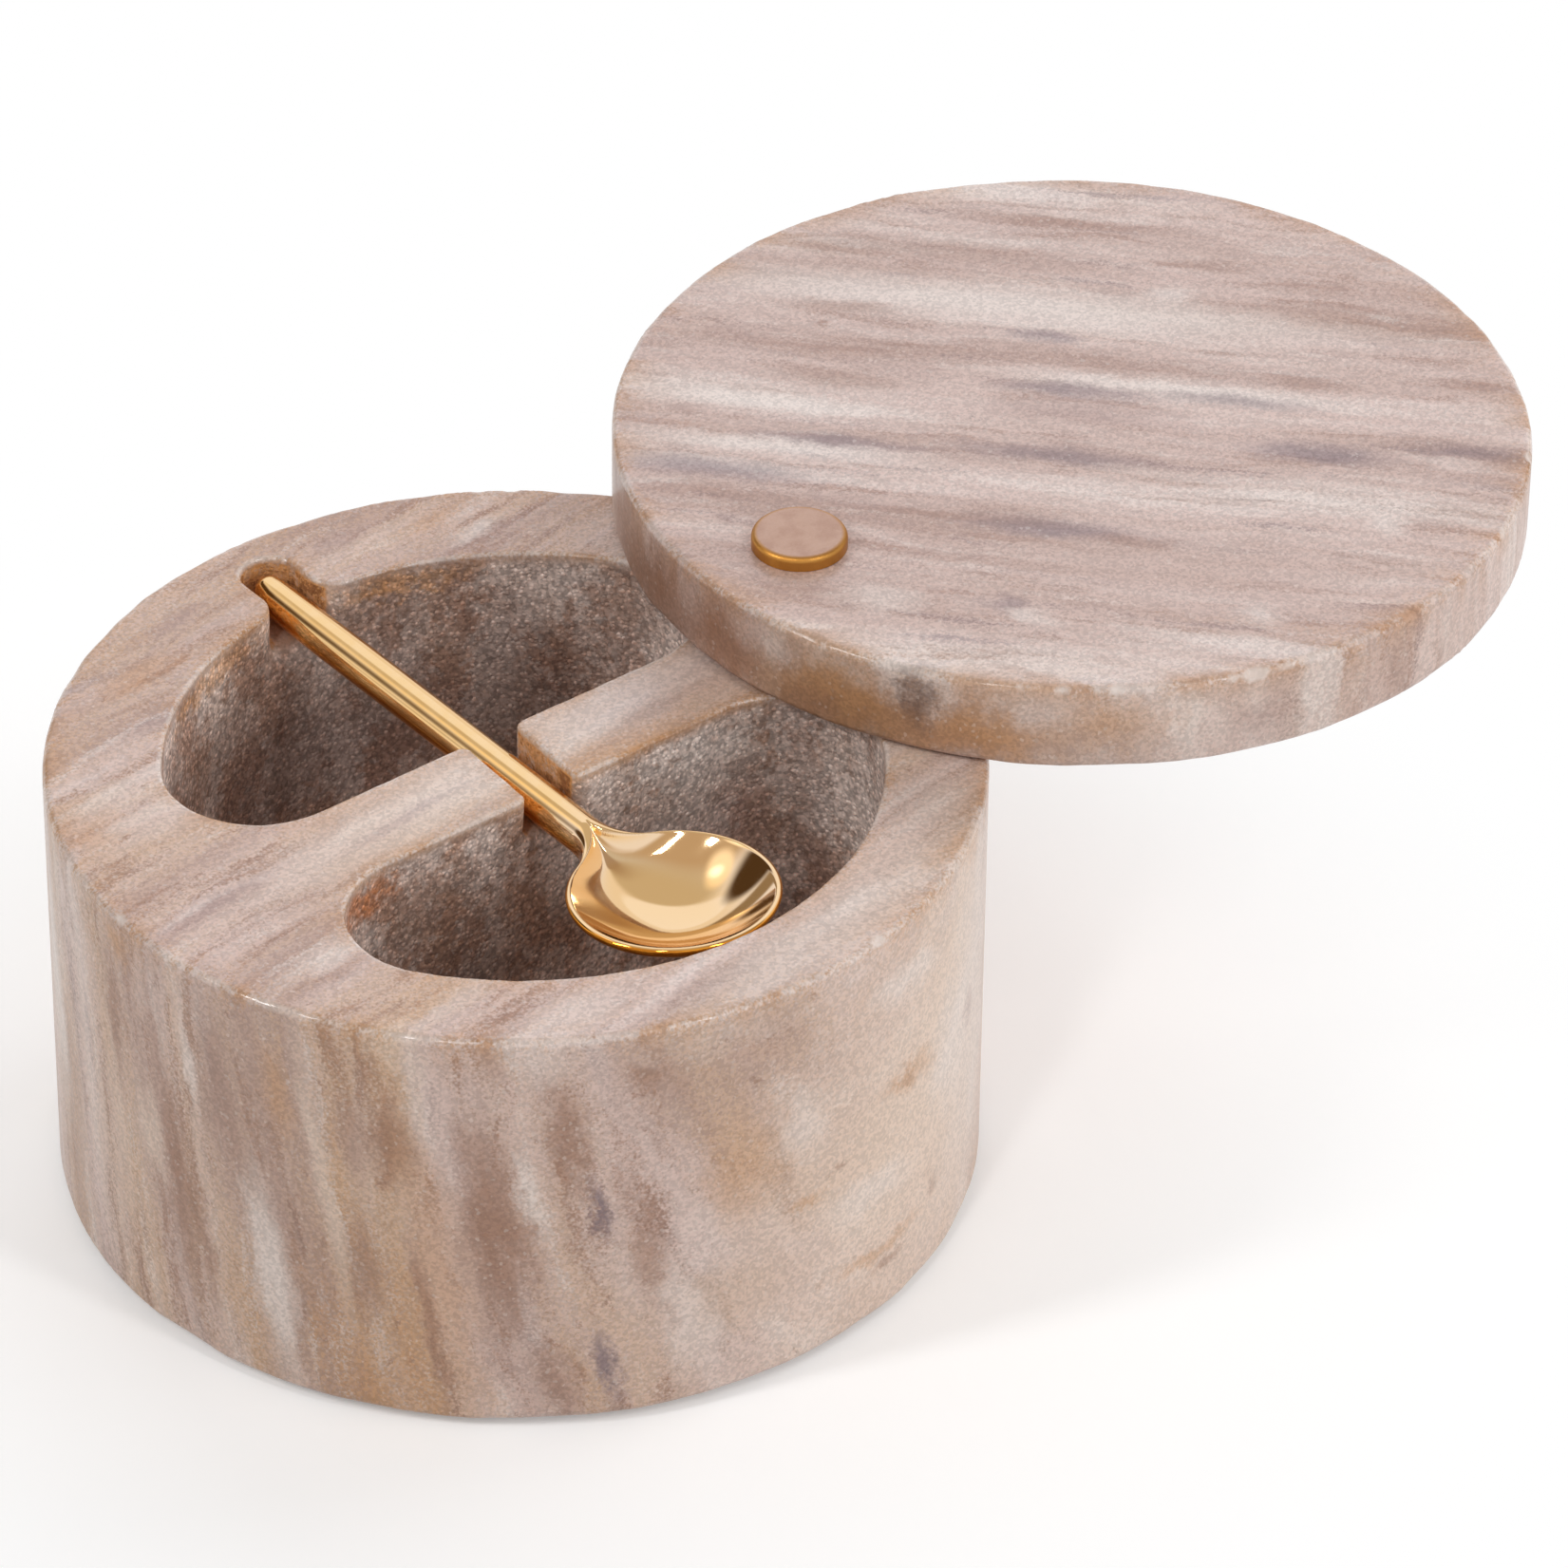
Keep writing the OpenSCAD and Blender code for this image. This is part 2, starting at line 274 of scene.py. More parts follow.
def base_shape(points):
    """Distance to the stone base with its wells, slot and notch"""
    edge = OUTER_EDGE_R * wear(points, BASE_WEAR_SEED)
    body = disc(points, 0, BODY_R, base_low[2], BODY_TOP, edge)
    body = round_keep(body, -nicks(points, BASE_CHIPS), CHIP_EDGE_R)
    depth = np.clip((BODY_TOP - points[:, 2]) / WELL_WAVE_DEPTH, 0, 1)
    waves = lattice_noise(points * WELL_WAVE_DRAWN, WELL_WAVE_SIZE, WELL_WAVE_SEED)
    hollow = wells(points) - WELL_WAVE * depth * waves
    slot = pocket(slot_plan(points), points[:, 2], SLOT_FLOOR_Z, SLOT_FLOOR_R)
    notch = pocket(notch_plan(points), points[:, 2], SLOT_FLOOR_Z, SLOT_FLOOR_R)
    cut = round_join(hollow, slot, SLOT_CORNER_R)
    cut = round_join(cut, notch, NOTCH_CORNER_R)
    cut = cut + CUT_WAVE * lattice_noise(points, CUT_WAVE_SIZE, CUT_WAVE_SEED)
    stone = round_keep(body, -cut, WELL_EDGE_R)
    screw_hole = np.maximum(pivot_hole(points, INSERT_HOLE_R), BODY_TOP - INSERT_DEPTH - points[:, 2])
    return np.maximum(stone, -screw_hole)


def lid_shape(points):
    """Distance to the stone lid with the pivot's hole"""
    edge = OUTER_EDGE_R * wear(points, LID_WEAR_SEED)
    slab = disc(points, LID_X, LID_R, lid_low[2], lid_high[2], edge)
    slab = round_keep(slab, -nicks(points, LID_CHIPS), CHIP_EDGE_R)
    return np.maximum(slab, -pivot_hole(points, SHOULDER_HOLE_R))


# How fine the carved stone is, in millimetres
BASE_GRAIN = 0.48
LID_GRAIN = 0.5
# How it is drawn onto its shape: how many times, and how far apart a slope is measured, in millimetres
CARVE_ROUNDS = 4
SLOPE_STEP = 0.02
# Most triangles in one stone; its plain parts are thinned to that
MOST_TRIANGLES = 186000
# The base is plain on its outside below its upper edge, and deep in its wells
PLAIN_R = 44.0
PLAIN_DEPTH = 5.0
PLAIN_WELL_DEPTH = 17.0


def slope(shape, points):
    """Direction in which the distance grows, at each point"""
    ways = []
    for axis in range(3):
        shift = np.zeros(3)
        shift[axis] = SLOPE_STEP
        ways.append((shape(points + shift) - shape(points - shift)) / (2 * SLOPE_STEP))
    way = np.stack(ways, 1)
    return way / np.maximum(np.linalg.norm(way, axis=1, keepdims=True), 1e-9)


def apply_modifiers(piece):
    """Bakes a piece's modifiers into its mesh"""
    ready = piece.evaluated_get(bpy.context.evaluated_depsgraph_get())
    mesh = bpy.data.meshes.new_from_object(ready)
    piece.modifiers.clear()
    piece.data = mesh


def vertex_places(mesh):
    """Places of a mesh's vertices in millimetres"""
    flat = np.empty(len(mesh.vertices) * 3, np.float32)
    mesh.vertices.foreach_get("co", flat)
    return flat.reshape(-1, 3).astype(float) / MM


def thin_out(piece, plain):
    """Takes triangles from the plain parts of a stone until it has no more than it may"""
    triangles = sum(len(face.vertices) - 2 for face in piece.data.polygons)
    if triangles <= MOST_TRIANGLES:
        return
    points = vertex_places(piece.data)
    chosen = np.nonzero(plain(points))[0]
    group = piece.vertex_groups.new(name="plain")
    group.add(chosen.tolist(), 1.0, "REPLACE")
    thin = piece.modifiers.new("thin", "DECIMATE")
    thin.vertex_group = "plain"
    thin.ratio = MOST_TRIANGLES / triangles
    apply_modifiers(piece)
    piece.vertex_groups.clear()


def plain_base(points):
    """The stone's outside between its upper and lower edge, its underside and the depth of its wells"""
    depth = BODY_TOP - points[:, 2]
    height = points[:, 2] - base_low[2]
    far_out = np.hypot(points[:, 0], points[:, 1]) > PLAIN_R
    outside = far_out & (depth > PLAIN_DEPTH) & (height > PLAIN_DEPTH / 2)
    return outside | ((depth > PLAIN_WELL_DEPTH) & ~far_out)


def plain_underside(points):
    """The lid's underside"""
    return points[:, 2] < lid_low[2] + OUTER_EDGE_R


def carve(name, node, shape, grain, plain):
    """A finely meshed copy of a stone node, drawn onto its worn and chipped shape"""
    source = bpy.data.objects.new(name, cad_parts[node].data.copy())
    scene.collection.objects.link(source)
    voxels = source.modifiers.new("voxels", "REMESH")
    voxels.mode = "VOXEL"
    voxels.voxel_size = grain * MM
    voxels.use_smooth_shade = True
    apply_modifiers(source)
    thin_out(source, plain)
    mesh = source.data
    points = vertex_places(mesh)
    for _ in range(CARVE_ROUNDS):
        way = slope(shape, points)
        points -= np.clip(shape(points), -grain, grain)[:, None] * way
    mesh.vertices.foreach_set("co", (points * MM).astype(np.float32).ravel())
    mesh.update()
    mesh.shade_smooth()
    mesh.normals_split_custom_set_from_vertices(slope(shape, points))
    return source, points


def write_mask(mesh, name, values):
    """A value for each vertex, which a material reads by name"""
    mask = mesh.attributes.new(name, "FLOAT", "POINT")
    mask.data.foreach_set("value", np.clip(values, 0, 1).astype(np.float32))


# Sizes of the spoon in millimetres, as in the part's own source
SPOON_BACK_Y = spoon_high[1]
SPOON_LEN = spoon_high[1] - spoon_low[1]
SPOON_X = (spoon_high[0] + spoon_low[0]) / 2
SPOON_TOP = BODY_TOP - 0.8
HANDLE_R = 2.2
TIP_R = 1.7
TAPER_LEN = 14.0
BOWL_R = (spoon_high[0] - spoon_low[0]) / 2
BOWL_DEPTH = 4.7
BOWL_TILT = math.radians(3.5)
BOWL_SINK = 0.3
BOWL_WALL = 0.8
BOWL_RIM_W = 0.6
NECK_R = 5.5
RIDGE_SHARE = 1.4
BOWL_U = SPOON_LEN - BOWL_R
NECK_SPAN = math.sqrt((BOWL_R + NECK_R) ** 2 - (HANDLE_R + NECK_R) ** 2)
NECK_U = BOWL_U - NECK_SPAN
JOIN_U = BOWL_U - NECK_SPAN * BOWL_R / (BOWL_R + NECK_R)
BOWL_IN_R = BOWL_R - BOWL_RIM_W
# Stations along the spoon, and points round each of them
TIP_STEPS = 14
HANDLE_STEPS = 40
NECK_STEPS = 56
SHOULDER_STEPS = 36
BOWL_STEPS = 70
ROUND_STEPS = 120


def ease(low, high, value):
    """Smooth step from 0 at low to 1 at high"""
    share = np.clip((value - low) / (high - low), 0, 1)
    return share * share * (3 - 2 * share)


def half_circle(radius, offset):
    """Half the width of a circle at an offset from its centre"""
    return np.sqrt(np.maximum(0, radius * radius - offset * offset))


def half_width(u):
    """Half the spoon's width, u along it from the handle's tip"""
    if u < TIP_R:
        return half_circle(TIP_R, TIP_R - u)
    if u < NECK_U:
        return TIP_R + (HANDLE_R - TIP_R) * ease(TIP_R - TAPER_LEN, TAPER_LEN, u)
    if u < JOIN_U:
        return HANDLE_R + NECK_R - half_circle(NECK_R, u - NECK_U)
    return half_circle(BOWL_R, u - BOWL_U)


def inside(u, v):
    """How far points lie inside the spoon's outline"""
    if u < TIP_R:
        return TIP_R - np.hypot(TIP_R - u, v)
    if u < NECK_U:
        return half_width(u) - np.abs(v)
    if u < JOIN_U:
        return np.hypot(u - NECK_U, HANDLE_R + NECK_R - np.abs(v)) - NECK_R
    return BOWL_R - np.hypot(u - BOWL_U, v)


def rim_radius(u):
    """Radius of the edge: round all over on the handle, half the wall on the bowl"""
    if u < TIP_R:
        return TIP_R
    if u < NECK_U:
        return half_width(u)
    return HANDLE_R + (BOWL_WALL / 2 - HANDLE_R) * ease(NECK_U, JOIN_U, u)


def rim_drop(u, v):
    """Drop of the rounded edge below the top"""
    radius = rim_radius(u)
    share = np.clip(inside(u, v) / radius, 0, 1)
    return radius * (1 - half_circle(1, 1 - share))


def dish_depth(u):
    """Depth of the dish along the spoon's middle, drawn out towards the neck"""
    if u < NECK_U:
        return 0
    reach = NECK_SPAN if u < BOWL_U else BOWL_R
    return BOWL_DEPTH * (1 - ((u - BOWL_U) / reach) ** 2)


def section(half, depth, v):
    """Depth of a dish's section at v across it, from its half width and its depth in the middle"""
    return depth * np.maximum(0, 1 - (v / max(half, 1e-6)) ** 2)


def hollow_depth(u, v):
    """Depth of the bowl's hollow, which runs up into the neck as a narrow trough"""
    if u < BOWL_U:
        return section((half_width(u) - BOWL_RIM_W) * ease(NECK_U, JOIN_U, u), dish_depth(u), v)
    half = half_circle(BOWL_IN_R, u - BOWL_U)
    return section(half, BOWL_DEPTH * (half / BOWL_IN_R) ** 2, v)


def back_depth(u, v):
    """Depth that the bowl's back and the handle's ridge add under the edge"""
    belly = section(half_width(u), dish_depth(u), v)
    ridge_height = 2 * (HANDLE_R - rim_radius(u)) * (1 - ease(NECK_U, BOWL_U, u))
    return np.hypot(belly, ridge_height * section(RIDGE_SHARE * HANDLE_R, 1, v) ** 2)


def spoon_ring(u):
    """One ring of points round the spoon, over the top and back underneath"""
    turn = np.linspace(0, 2 * math.pi, ROUND_STEPS, endpoint=False)
    v = half_width(u) * np.cos(turn)
    line = ((u - BOWL_U) * math.tan(BOWL_TILT) - BOWL_SINK) * ease(NECK_U, JOIN_U, u)
    upper = line - rim_drop(u, v) - hollow_depth(u, v)
    lower = line - 2 * rim_radius(u) + rim_drop(u, v) - back_depth(u, v)
    side = np.abs(np.sin(turn)) < 1e-6
    height = np.where(side, line - rim_radius(u), np.where(turn < math.pi, upper, lower))
    return np.stack([v, np.full_like(v, -u), height], 1)


def spoon_stations():
    """Places of the rings along the spoon, close together where it bends"""
    quarter = np.linspace(0, math.pi / 2, TIP_STEPS + 1)[1:]
    tip = TIP_R * (1 - np.cos(quarter))
    handle = np.linspace(TIP_R, NECK_U, HANDLE_STEPS + 1)[1:]
    neck = np.linspace(NECK_U, JOIN_U, NECK_STEPS + 1)[1:]
    shoulder = np.linspace(JOIN_U, BOWL_U, SHOULDER_STEPS + 1)[1:]
    front = BOWL_U + BOWL_R * np.sin(np.linspace(0, math.pi / 2, BOWL_STEPS + 1)[1:-1])
    return np.concatenate([tip, handle, neck, shoulder, front])


def mesh_piece(name, points, faces):
    """A smooth-shaded piece from points in metres and faces"""
    mesh = bpy.data.meshes.new(name)
    mesh.from_pydata([tuple(point) for point in points], [], faces)
    mesh.update()
    mesh.shade_smooth()
    piece = bpy.data.objects.new(name, mesh)
    scene.collection.objects.link(piece)
    return piece


def make_spoon():
    """The spoon in one smooth skin"""
    rings = [spoon_ring(u) for u in spoon_stations()]
    front_z = (SPOON_LEN - BOWL_U) * math.tan(BOWL_TILT) - BOWL_SINK - BOWL_WALL / 2
    points = np.concatenate([[(0, 0, -TIP_R)], *rings, [(0, -SPOON_LEN, front_z)]])
    points = (points + (SPOON_X, SPOON_BACK_Y, SPOON_TOP)) * MM
    n = ROUND_STEPS
    last = 1 + (len(rings) - 1) * n
    faces = [(0, 1 + i, 1 + (i + 1) % n) for i in range(n)]
    for ring in range(len(rings) - 1):
        first = 1 + ring * n
        for i in range(n):
            after = (i + 1) % n
            faces.append((first + i, first + n + i, first + n + after, first + after))
    faces += [(len(points) - 1, last + (i + 1) % n, last + i) for i in range(n)]
    return mesh_piece("spoon_skin", points, faces)


# How far the worn look reaches from an edge, outside and round the cuts, in millimetres
OUTER_WORN_REACH = 2.0
CUT_WORN_REACH = 1.5


def edge_nearness(points, centre_x, radius, top):
    """1 at a disc's upper edge, fading away from it"""
    across = radius - np.hypot(points[:, 0] - centre_x, points[:, 1])
    return np.exp(-np.hypot(across, top - points[:, 2]) / OUTER_WORN_REACH)


def chip_mask(points, places):
    """1 in the chips, fading in a narrow band round them"""
    return ease(0.3, 0.05, nicks(points, places))


def dress_base():
    """The stone base, with masks for its rough wells, its slot's walls (amber stain and painted shade),
    worn edges and chips
    """
    piece, points = carve("base_stone", "base", base_shape, BASE_GRAIN, plain_base)
    depth = BODY_TOP - points[:, 2]
    well_gap = np.abs(wells(points))
    cut_gap = np.minimum(np.abs(slot_plan(points)), np.abs(notch_plan(points)))
    # Every mask fades over about a millimetre, because the stain, the painted shade and the saw marks end
    # softly
    in_well = ease(1.6, 0.4, well_gap) * ease(0.2, 1.6, depth)
    in_slot = ease(1.2, 0.4, cut_gap) * ease(0.1, 0.9, depth) * ease(6.0, 5.4, depth)
    in_slot *= ease(0.3, 1.2, wells(points))
    near_cut = np.exp(-np.hypot(np.minimum(well_gap, cut_gap), depth) / CUT_WORN_REACH)
    near_edge = np.maximum(edge_nearness(points, 0, BODY_R, BODY_TOP), near_cut)
    write_mask(piece.data, "in_well", in_well)
    write_mask(piece.data, "in_slot", in_slot)
    write_mask(piece.data, "near_edge", near_edge)
    write_mask(piece.data, "in_chip", chip_mask(points, BASE_CHIPS))
    return piece


def dress_lid():
    """The stone lid, with masks for its worn edges and its chips"""
    piece, points = carve("lid_stone", "lid", lid_shape, LID_GRAIN, plain_underside)
    write_mask(piece.data, "near_edge", edge_nearness(points, LID_X, LID_R, lid_high[2]))
    write_mask(piece.data, "in_chip", chip_mask(points, LID_CHIPS))
    return piece


# Shader nodes


def tint(red, green, blue):
    """A colour as it looks on screen, from 0 to 255, in the linear form that shaders take"""
    levels = [channel / 255 for channel in (red, green, blue)]
    return tuple(v / 12.92 if v <= 0.04045 else ((v + 0.055) / 1.055) ** 2.4 for v in levels) + (1,)


def feed(tree, socket, value):
    """Links or sets a socket"""
    if isinstance(value, bpy.types.NodeSocket):
        tree.links.new(value, socket)
    else:
        socket.default_value = value


def place(tree, kind, settings=None, **sockets):
    """A new node with its settings and its sockets, whose names have _ for spaces"""
    node = tree.nodes.new(kind)
    for key, value in (settings or {}).items():
        setattr(node, key, value)
    for key, value in sockets.items():
        feed(tree, node.inputs[key.replace("_", " ")], value)
    return node


def calculate(tree, operation, *values, clamp=False):
    """A Math node's result"""
    node = place(tree, "ShaderNodeMath", {"operation": operation, "use_clamp": clamp})
    for socket, value in zip(node.inputs, values):
        feed(tree, socket, value)
    return node.outputs[0]


def calculate_vector(tree, operation, *values):
    """A Vector Math node's vector, or its value for a length"""
    node = place(tree, "ShaderNodeVectorMath", {"operation": operation})
    for socket, value in zip(node.inputs, values):
        feed(tree, socket, value)
    return node.outputs["Value" if operation == "LENGTH" else "Vector"]


def mix_colours(tree, share, first, second, blend="MIX"):
    """Colour between two others"""
    node = place(tree, "ShaderNodeMix", {"data_type": "RGBA", "blend_type": blend})
    feed(tree, node.inputs[0], share)
    feed(tree, node.inputs[6], first)
    feed(tree, node.inputs[7], second)
    return node.outputs[2]


def ramp(tree, value, low, high, to_low=0.0, to_high=1.0):
    """A value spread smoothly from low..high to to_low..to_high"""
    node = place(tree, "ShaderNodeMapRange", {"interpolation_type": "SMOOTHSTEP"}, Value=value)
    for name, limit in (("From Min", low), ("From Max", high), ("To Min", to_low), ("To Max", to_high)):
        feed(tree, node.inputs[name], limit)
    return node.outputs["Result"]


def noise(tree, vector, size, detail=3.0, roughness=0.5, colour=False):
    """Noise with features of a size in millimetres; the size may be a socket"""
    scale = calculate(tree, "DIVIDE", 1, size) if isinstance(size, bpy.types.NodeSocket) else 1 / size
    node = place(tree, "ShaderNodeTexNoise", Vector=vector, Scale=scale, Detail=detail, Roughness=roughness)
    return node.outputs["Color" if colour else "Fac"]


def grey_colour(tree, value):
    """A value as a grey colour"""
    return place(tree, "ShaderNodeCombineColor", Red=value, Green=value, Blue=value).outputs["Color"]


def new_group(name, inputs, outputs):
    """An empty node group with named sockets: its tree, its input node and its output node"""
    tree = bpy.data.node_groups.new(name, "ShaderNodeTree")
    for socket, kind, default in inputs:
        made = tree.interface.new_socket(socket, in_out="INPUT", socket_type=kind)
        if default is not None:
            made.default_value = default
    for socket, kind in outputs:
        tree.interface.new_socket(socket, in_out="OUTPUT", socket_type=kind)
    return tree, tree.nodes.new("NodeGroupInput"), tree.nodes.new("NodeGroupOutput")


def use_group(tree, group, **sockets):
    """A placed node group"""
    node = place(tree, "ShaderNodeGroup", {"node_tree": group})
    for key, value in sockets.items():
        feed(tree, node.inputs[key.replace("_", " ")], value)
    return node


def new_material(name):
    """A material with its node tree and its shader"""
    material = bpy.data.materials.new(name)
    material.use_nodes = True
    return material, material.node_tree, material.node_tree.nodes["Principled BSDF"]


def feed_shader(tree, shader, colour, roughness, height, strength=1.0):
    """Feeds a shader its colour, its roughness and the bumps of a height in millimetres"""
    bump = place(tree, "ShaderNodeBump", Height=height, Distance=MM, Strength=strength)
    feed(tree, shader.inputs["Base Color"], colour)
    feed(tree, shader.inputs["Roughness"], roughness)
    feed(tree, shader.inputs["Normal"], bump.outputs["Normal"])


VECTOR = "NodeSocketVector"
FLOAT = "NodeSocketFloat"
# The middle of each channel of a coloured noise
HALF = (0.5, 0.5, 0.5)
WHITE = (1, 1, 1, 1)


def make_soft_spot():
    """Group: 1 round a spot's centre, fading to 0 at its reach; Core is the share that stays at 1"""
    tree, given, result = new_group(
        "soft_spot",
        [
            ("Vector", VECTOR, None),
            ("Centre", VECTOR, None),
            ("Reach", VECTOR, (1, 1, 1)),
            ("Core", FLOAT, 0.1),
            ("Strength", FLOAT, 1),
        ],
        [("Mask", FLOAT)],
    )
    away = calculate_vector(tree, "SUBTRACT", given.outputs["Vector"], given.outputs["Centre"])
    away = calculate_vector(tree, "DIVIDE", away, given.outputs["Reach"])
    mask = ramp(tree, calculate_vector(tree, "LENGTH", away), 1.0, given.outputs["Core"])
    feed(tree, result.inputs["Mask"], calculate(tree, "MULTIPLY", mask, given.outputs["Strength"]))
    return tree


def make_stone_layers():
    """Group: bands, streaks and clouds of a layered marble; layers lie across its Y.
    Placed is the vector for single streaks, bent and broken up by the same grain"""
    tree, given, result = new_group(
        "stone_layers",
        [
            ("Vector", VECTOR, None),
            ("Band Width", FLOAT, 8),
            ("Streak Width", FLOAT, 3),
            ("Length", FLOAT, 7),
            ("Waviness", FLOAT, 1),
            ("Grain", FLOAT, 0.5),
        ],
        [
            ("Placed", VECTOR),
            ("Bands", FLOAT),
            ("Rust", FLOAT),
            ("Streaks", FLOAT),
            ("Veins", FLOAT),
            ("Clouds", FLOAT),
        ],
    )
    vector = given.outputs["Vector"]
    waviness = place(tree, "ShaderNodeCombineXYZ", X=given.outputs["Waviness"], Y=given.outputs["Waviness"])
    feed(tree, waviness.inputs["Z"], given.outputs["Waviness"])
    bend = calculate_vector(tree, "SUBTRACT", noise(tree, vector, 28, 1.5, colour=True), HALF)
    bend = calculate_vector(tree, "MULTIPLY", bend, (10, 8, 10))
    bend = calculate_vector(tree, "MULTIPLY", bend, waviness.outputs[0])
    along = calculate_vector(tree, "MULTIPLY", vector, (0.4, 1, 0.4))
    fray = calculate_vector(tree, "SUBTRACT", noise(tree, along, 2.4, 4, 0.62, colour=True), HALF)
    fray = calculate_vector(tree, "MULTIPLY", fray, (9, 2.6, 9))
    grit = calculate_vector(tree, "SUBTRACT", noise(tree, vector, 0.4, 1, 0.5, colour=True), HALF)
    grit = calculate_vector(tree, "MULTIPLY", grit, (1.8, 1.2, 1.8))
    placed = calculate_vector(tree, "ADD", calculate_vector(tree, "ADD", vector, fray), grit)
    warped = calculate_vector(tree, "ADD", placed, bend)
    share = calculate(tree, "DIVIDE", 1, given.outputs["Length"])
    squeeze = place(tree, "ShaderNodeCombineXYZ", X=share, Y=1.0, Z=share)
    layered = calculate_vector(tree, "MULTIPLY", warped, squeeze.outputs[0])
    grain = calculate(tree, "SUBTRACT", noise(tree, vector, 0.32, 1, 0.5), 0.5)
    grain = calculate(tree, "MULTIPLY", grain, given.outputs["Grain"])
    results = {"Placed": placed}
    for name, width, shift, detail, roughness in (
        ("Bands", given.outputs["Band Width"], 0.0, 2.0, 0.5),
        ("Rust", given.outputs["Band Width"], 37.0, 4.0, 0.6),
        ("Streaks", given.outputs["Streak Width"], 71.0, 3.0, 0.6),
        ("Veins", given.outputs["Streak Width"], 113.0, 3.0, 0.5),
    ):
        moved = calculate_vector(tree, "ADD", layered, (shift, shift, shift))
        results[name] = calculate(tree, "ADD", noise(tree, moved, width, detail, roughness), grain)
    softened = calculate_vector(tree, "MULTIPLY", warped, (0.35, 1, 0.35))
    results["Clouds"] = calculate(tree, "ADD", noise(tree, softened, 5.0, 5, 0.62), grain)
    for name, socket in results.items():
        feed(tree, result.inputs[name], socket)
    return tree


def make_stone_crystals():
    """Group: the fine speckle of marble, its bright flecks, the grains of its raw walls and its height"""
    tree, given, result = new_group(
        "stone_crystals",
        [("Vector", VECTOR, None), ("Size", FLOAT, 0.5)],
        [("Speckle", FLOAT), ("Flecks", FLOAT), ("Salt", FLOAT), ("Height", FLOAT)],
    )
    scale = calculate(tree, "DIVIDE", 1, given.outputs["Size"])
    cells = place(tree, "ShaderNodeTexVoronoi", Vector=given.outputs["Vector"], Scale=scale)
    tone = place(tree, "ShaderNodeSeparateColor", Color=cells.outputs["Color"])
    mottle = noise(tree, given.outputs["Vector"], given.outputs["Size"], 3.0)
    speckle = calculate(tree, "ADD", mottle, calculate(tree, "MULTIPLY", tone.outputs["Red"], 0.6))
    feed(tree, result.inputs["Speckle"], ramp(tree, speckle, 0.4, 1.2))
    feed(tree, result.inputs["Flecks"], ramp(tree, tone.outputs["Green"], 0.955, 0.99))
    salt = ramp(tree, cells.outputs["Distance"], 0.65, 0.15)
    salt = calculate(tree, "MULTIPLY", salt, ramp(tree, tone.outputs["Blue"], 0.1, 0.9))
    feed(tree, result.inputs["Salt"], salt)
    feed(tree, result.inputs["Height"], mottle)
    return tree


def make_fine_wear():
    """Group: faint smudges and hairlines on polished or brushed metal"""
    tree, given, result = new_group(
        "fine_wear",
        [("Vector", VECTOR, None), ("Stretch", VECTOR, (1, 1, 1)), ("Hairline", FLOAT, 0.08)],
        [("Smudges", FLOAT), ("Hairlines", FLOAT)],
    )
    feed(tree, result.inputs["Smudges"], noise(tree, given.outputs["Vector"], 2.2, 4, 0.6))
    drawn = calculate_vector(tree, "MULTIPLY", given.outputs["Vector"], given.outputs["Stretch"])
    feed(tree, result.inputs["Hairlines"], noise(tree, drawn, given.outputs["Hairline"], 2.0))
    return tree


soft_spot = make_soft_spot()
stone_layers = make_stone_layers()
stone_crystals = make_stone_crystals()
fine_wear = make_fine_wear()


def in_millimetres(tree):
    """The piece's own place in millimetres"""
    where = place(tree, "ShaderNodeTexCoord").outputs["Object"]
    return calculate_vector(tree, "MULTIPLY", where, (1 / MM, 1 / MM, 1 / MM))


def off_axis(tree, x, y):
    """Distance from an upright axis, in millimetres"""
    away = calculate_vector(tree, "SUBTRACT", in_millimetres(tree), (x, y, 0))
    return calculate_vector(tree, "LENGTH", calculate_vector(tree, "MULTIPLY", away, (1, 1, 0)))


def mask_of(tree, name):
    """A mask that was written on the mesh"""
    return place(tree, "ShaderNodeAttribute", {"attribute_name": name}).outputs["Fac"]


# Colours of the marble, as they look on screen
PINK = tint(206, 181, 171)
ROSE = tint(196, 170, 159)
BEIGE = tint(199, 167, 141)
PALE = tint(227, 214, 206)
CREAM = tint(222, 200, 182)
PEACH = tint(220, 197, 180)
MAUVE = tint(171, 143, 134)
VIOLET = tint(126, 107, 110)
TAUPE = tint(164, 131, 115)
BROWN = tint(150, 110, 87)
AMBER = tint(188, 138, 90)
# The golden and sienna colours below also paint the gold-tinted shade on the slot's walls under the spoon's
# handle, over a real amber stain
GOLDEN_STAIN_AND_SHADE = tint(214, 152, 84)
RUST = tint(188, 108, 36)
SIENNA_STAIN_AND_SHADE = tint(138, 88, 52)
WELL_GREY = tint(226, 210, 202)
WELL_BROWN = tint(168, 134, 116)
# Dark brown: a small stain on the lid's side, and in the wells partly stain, partly painted shade deep down
# and under the spoon's bowl
DEEP_STAIN_AND_SHADE = tint(96, 68, 56)
# Colours of the metals, the washer and the pad
GOLD = tint(248, 206, 138)
SMUDGED_GOLD = tint(250, 211, 148)
# Painted reflections on the spoon: a paler gold in the dish, paler still on its steep walls, and a deeper
# orange gold underneath and on the bowl's rim
DISH_REFLECTION_GOLD = tint(249, 211, 152)
STEEP_REFLECTION_GOLD = tint(250, 221, 178)
UNDERSIDE_REFLECTION_GOLD = tint(242, 168, 58)
COPPERY = tint(210, 175, 148)
COPPERY_WORN = tint(199, 162, 136)
COPPERY_EDGE = tint(196, 142, 70)
BRASS = tint(214, 178, 110)
BRASS_WORN = tint(190, 150, 84)
NYLON = tint(232, 230, 222)
NYLON_DARK = tint(216, 212, 202)
RUBBER = tint(72, 68, 64)
RUBBER_DARK = tint(52, 49, 46)

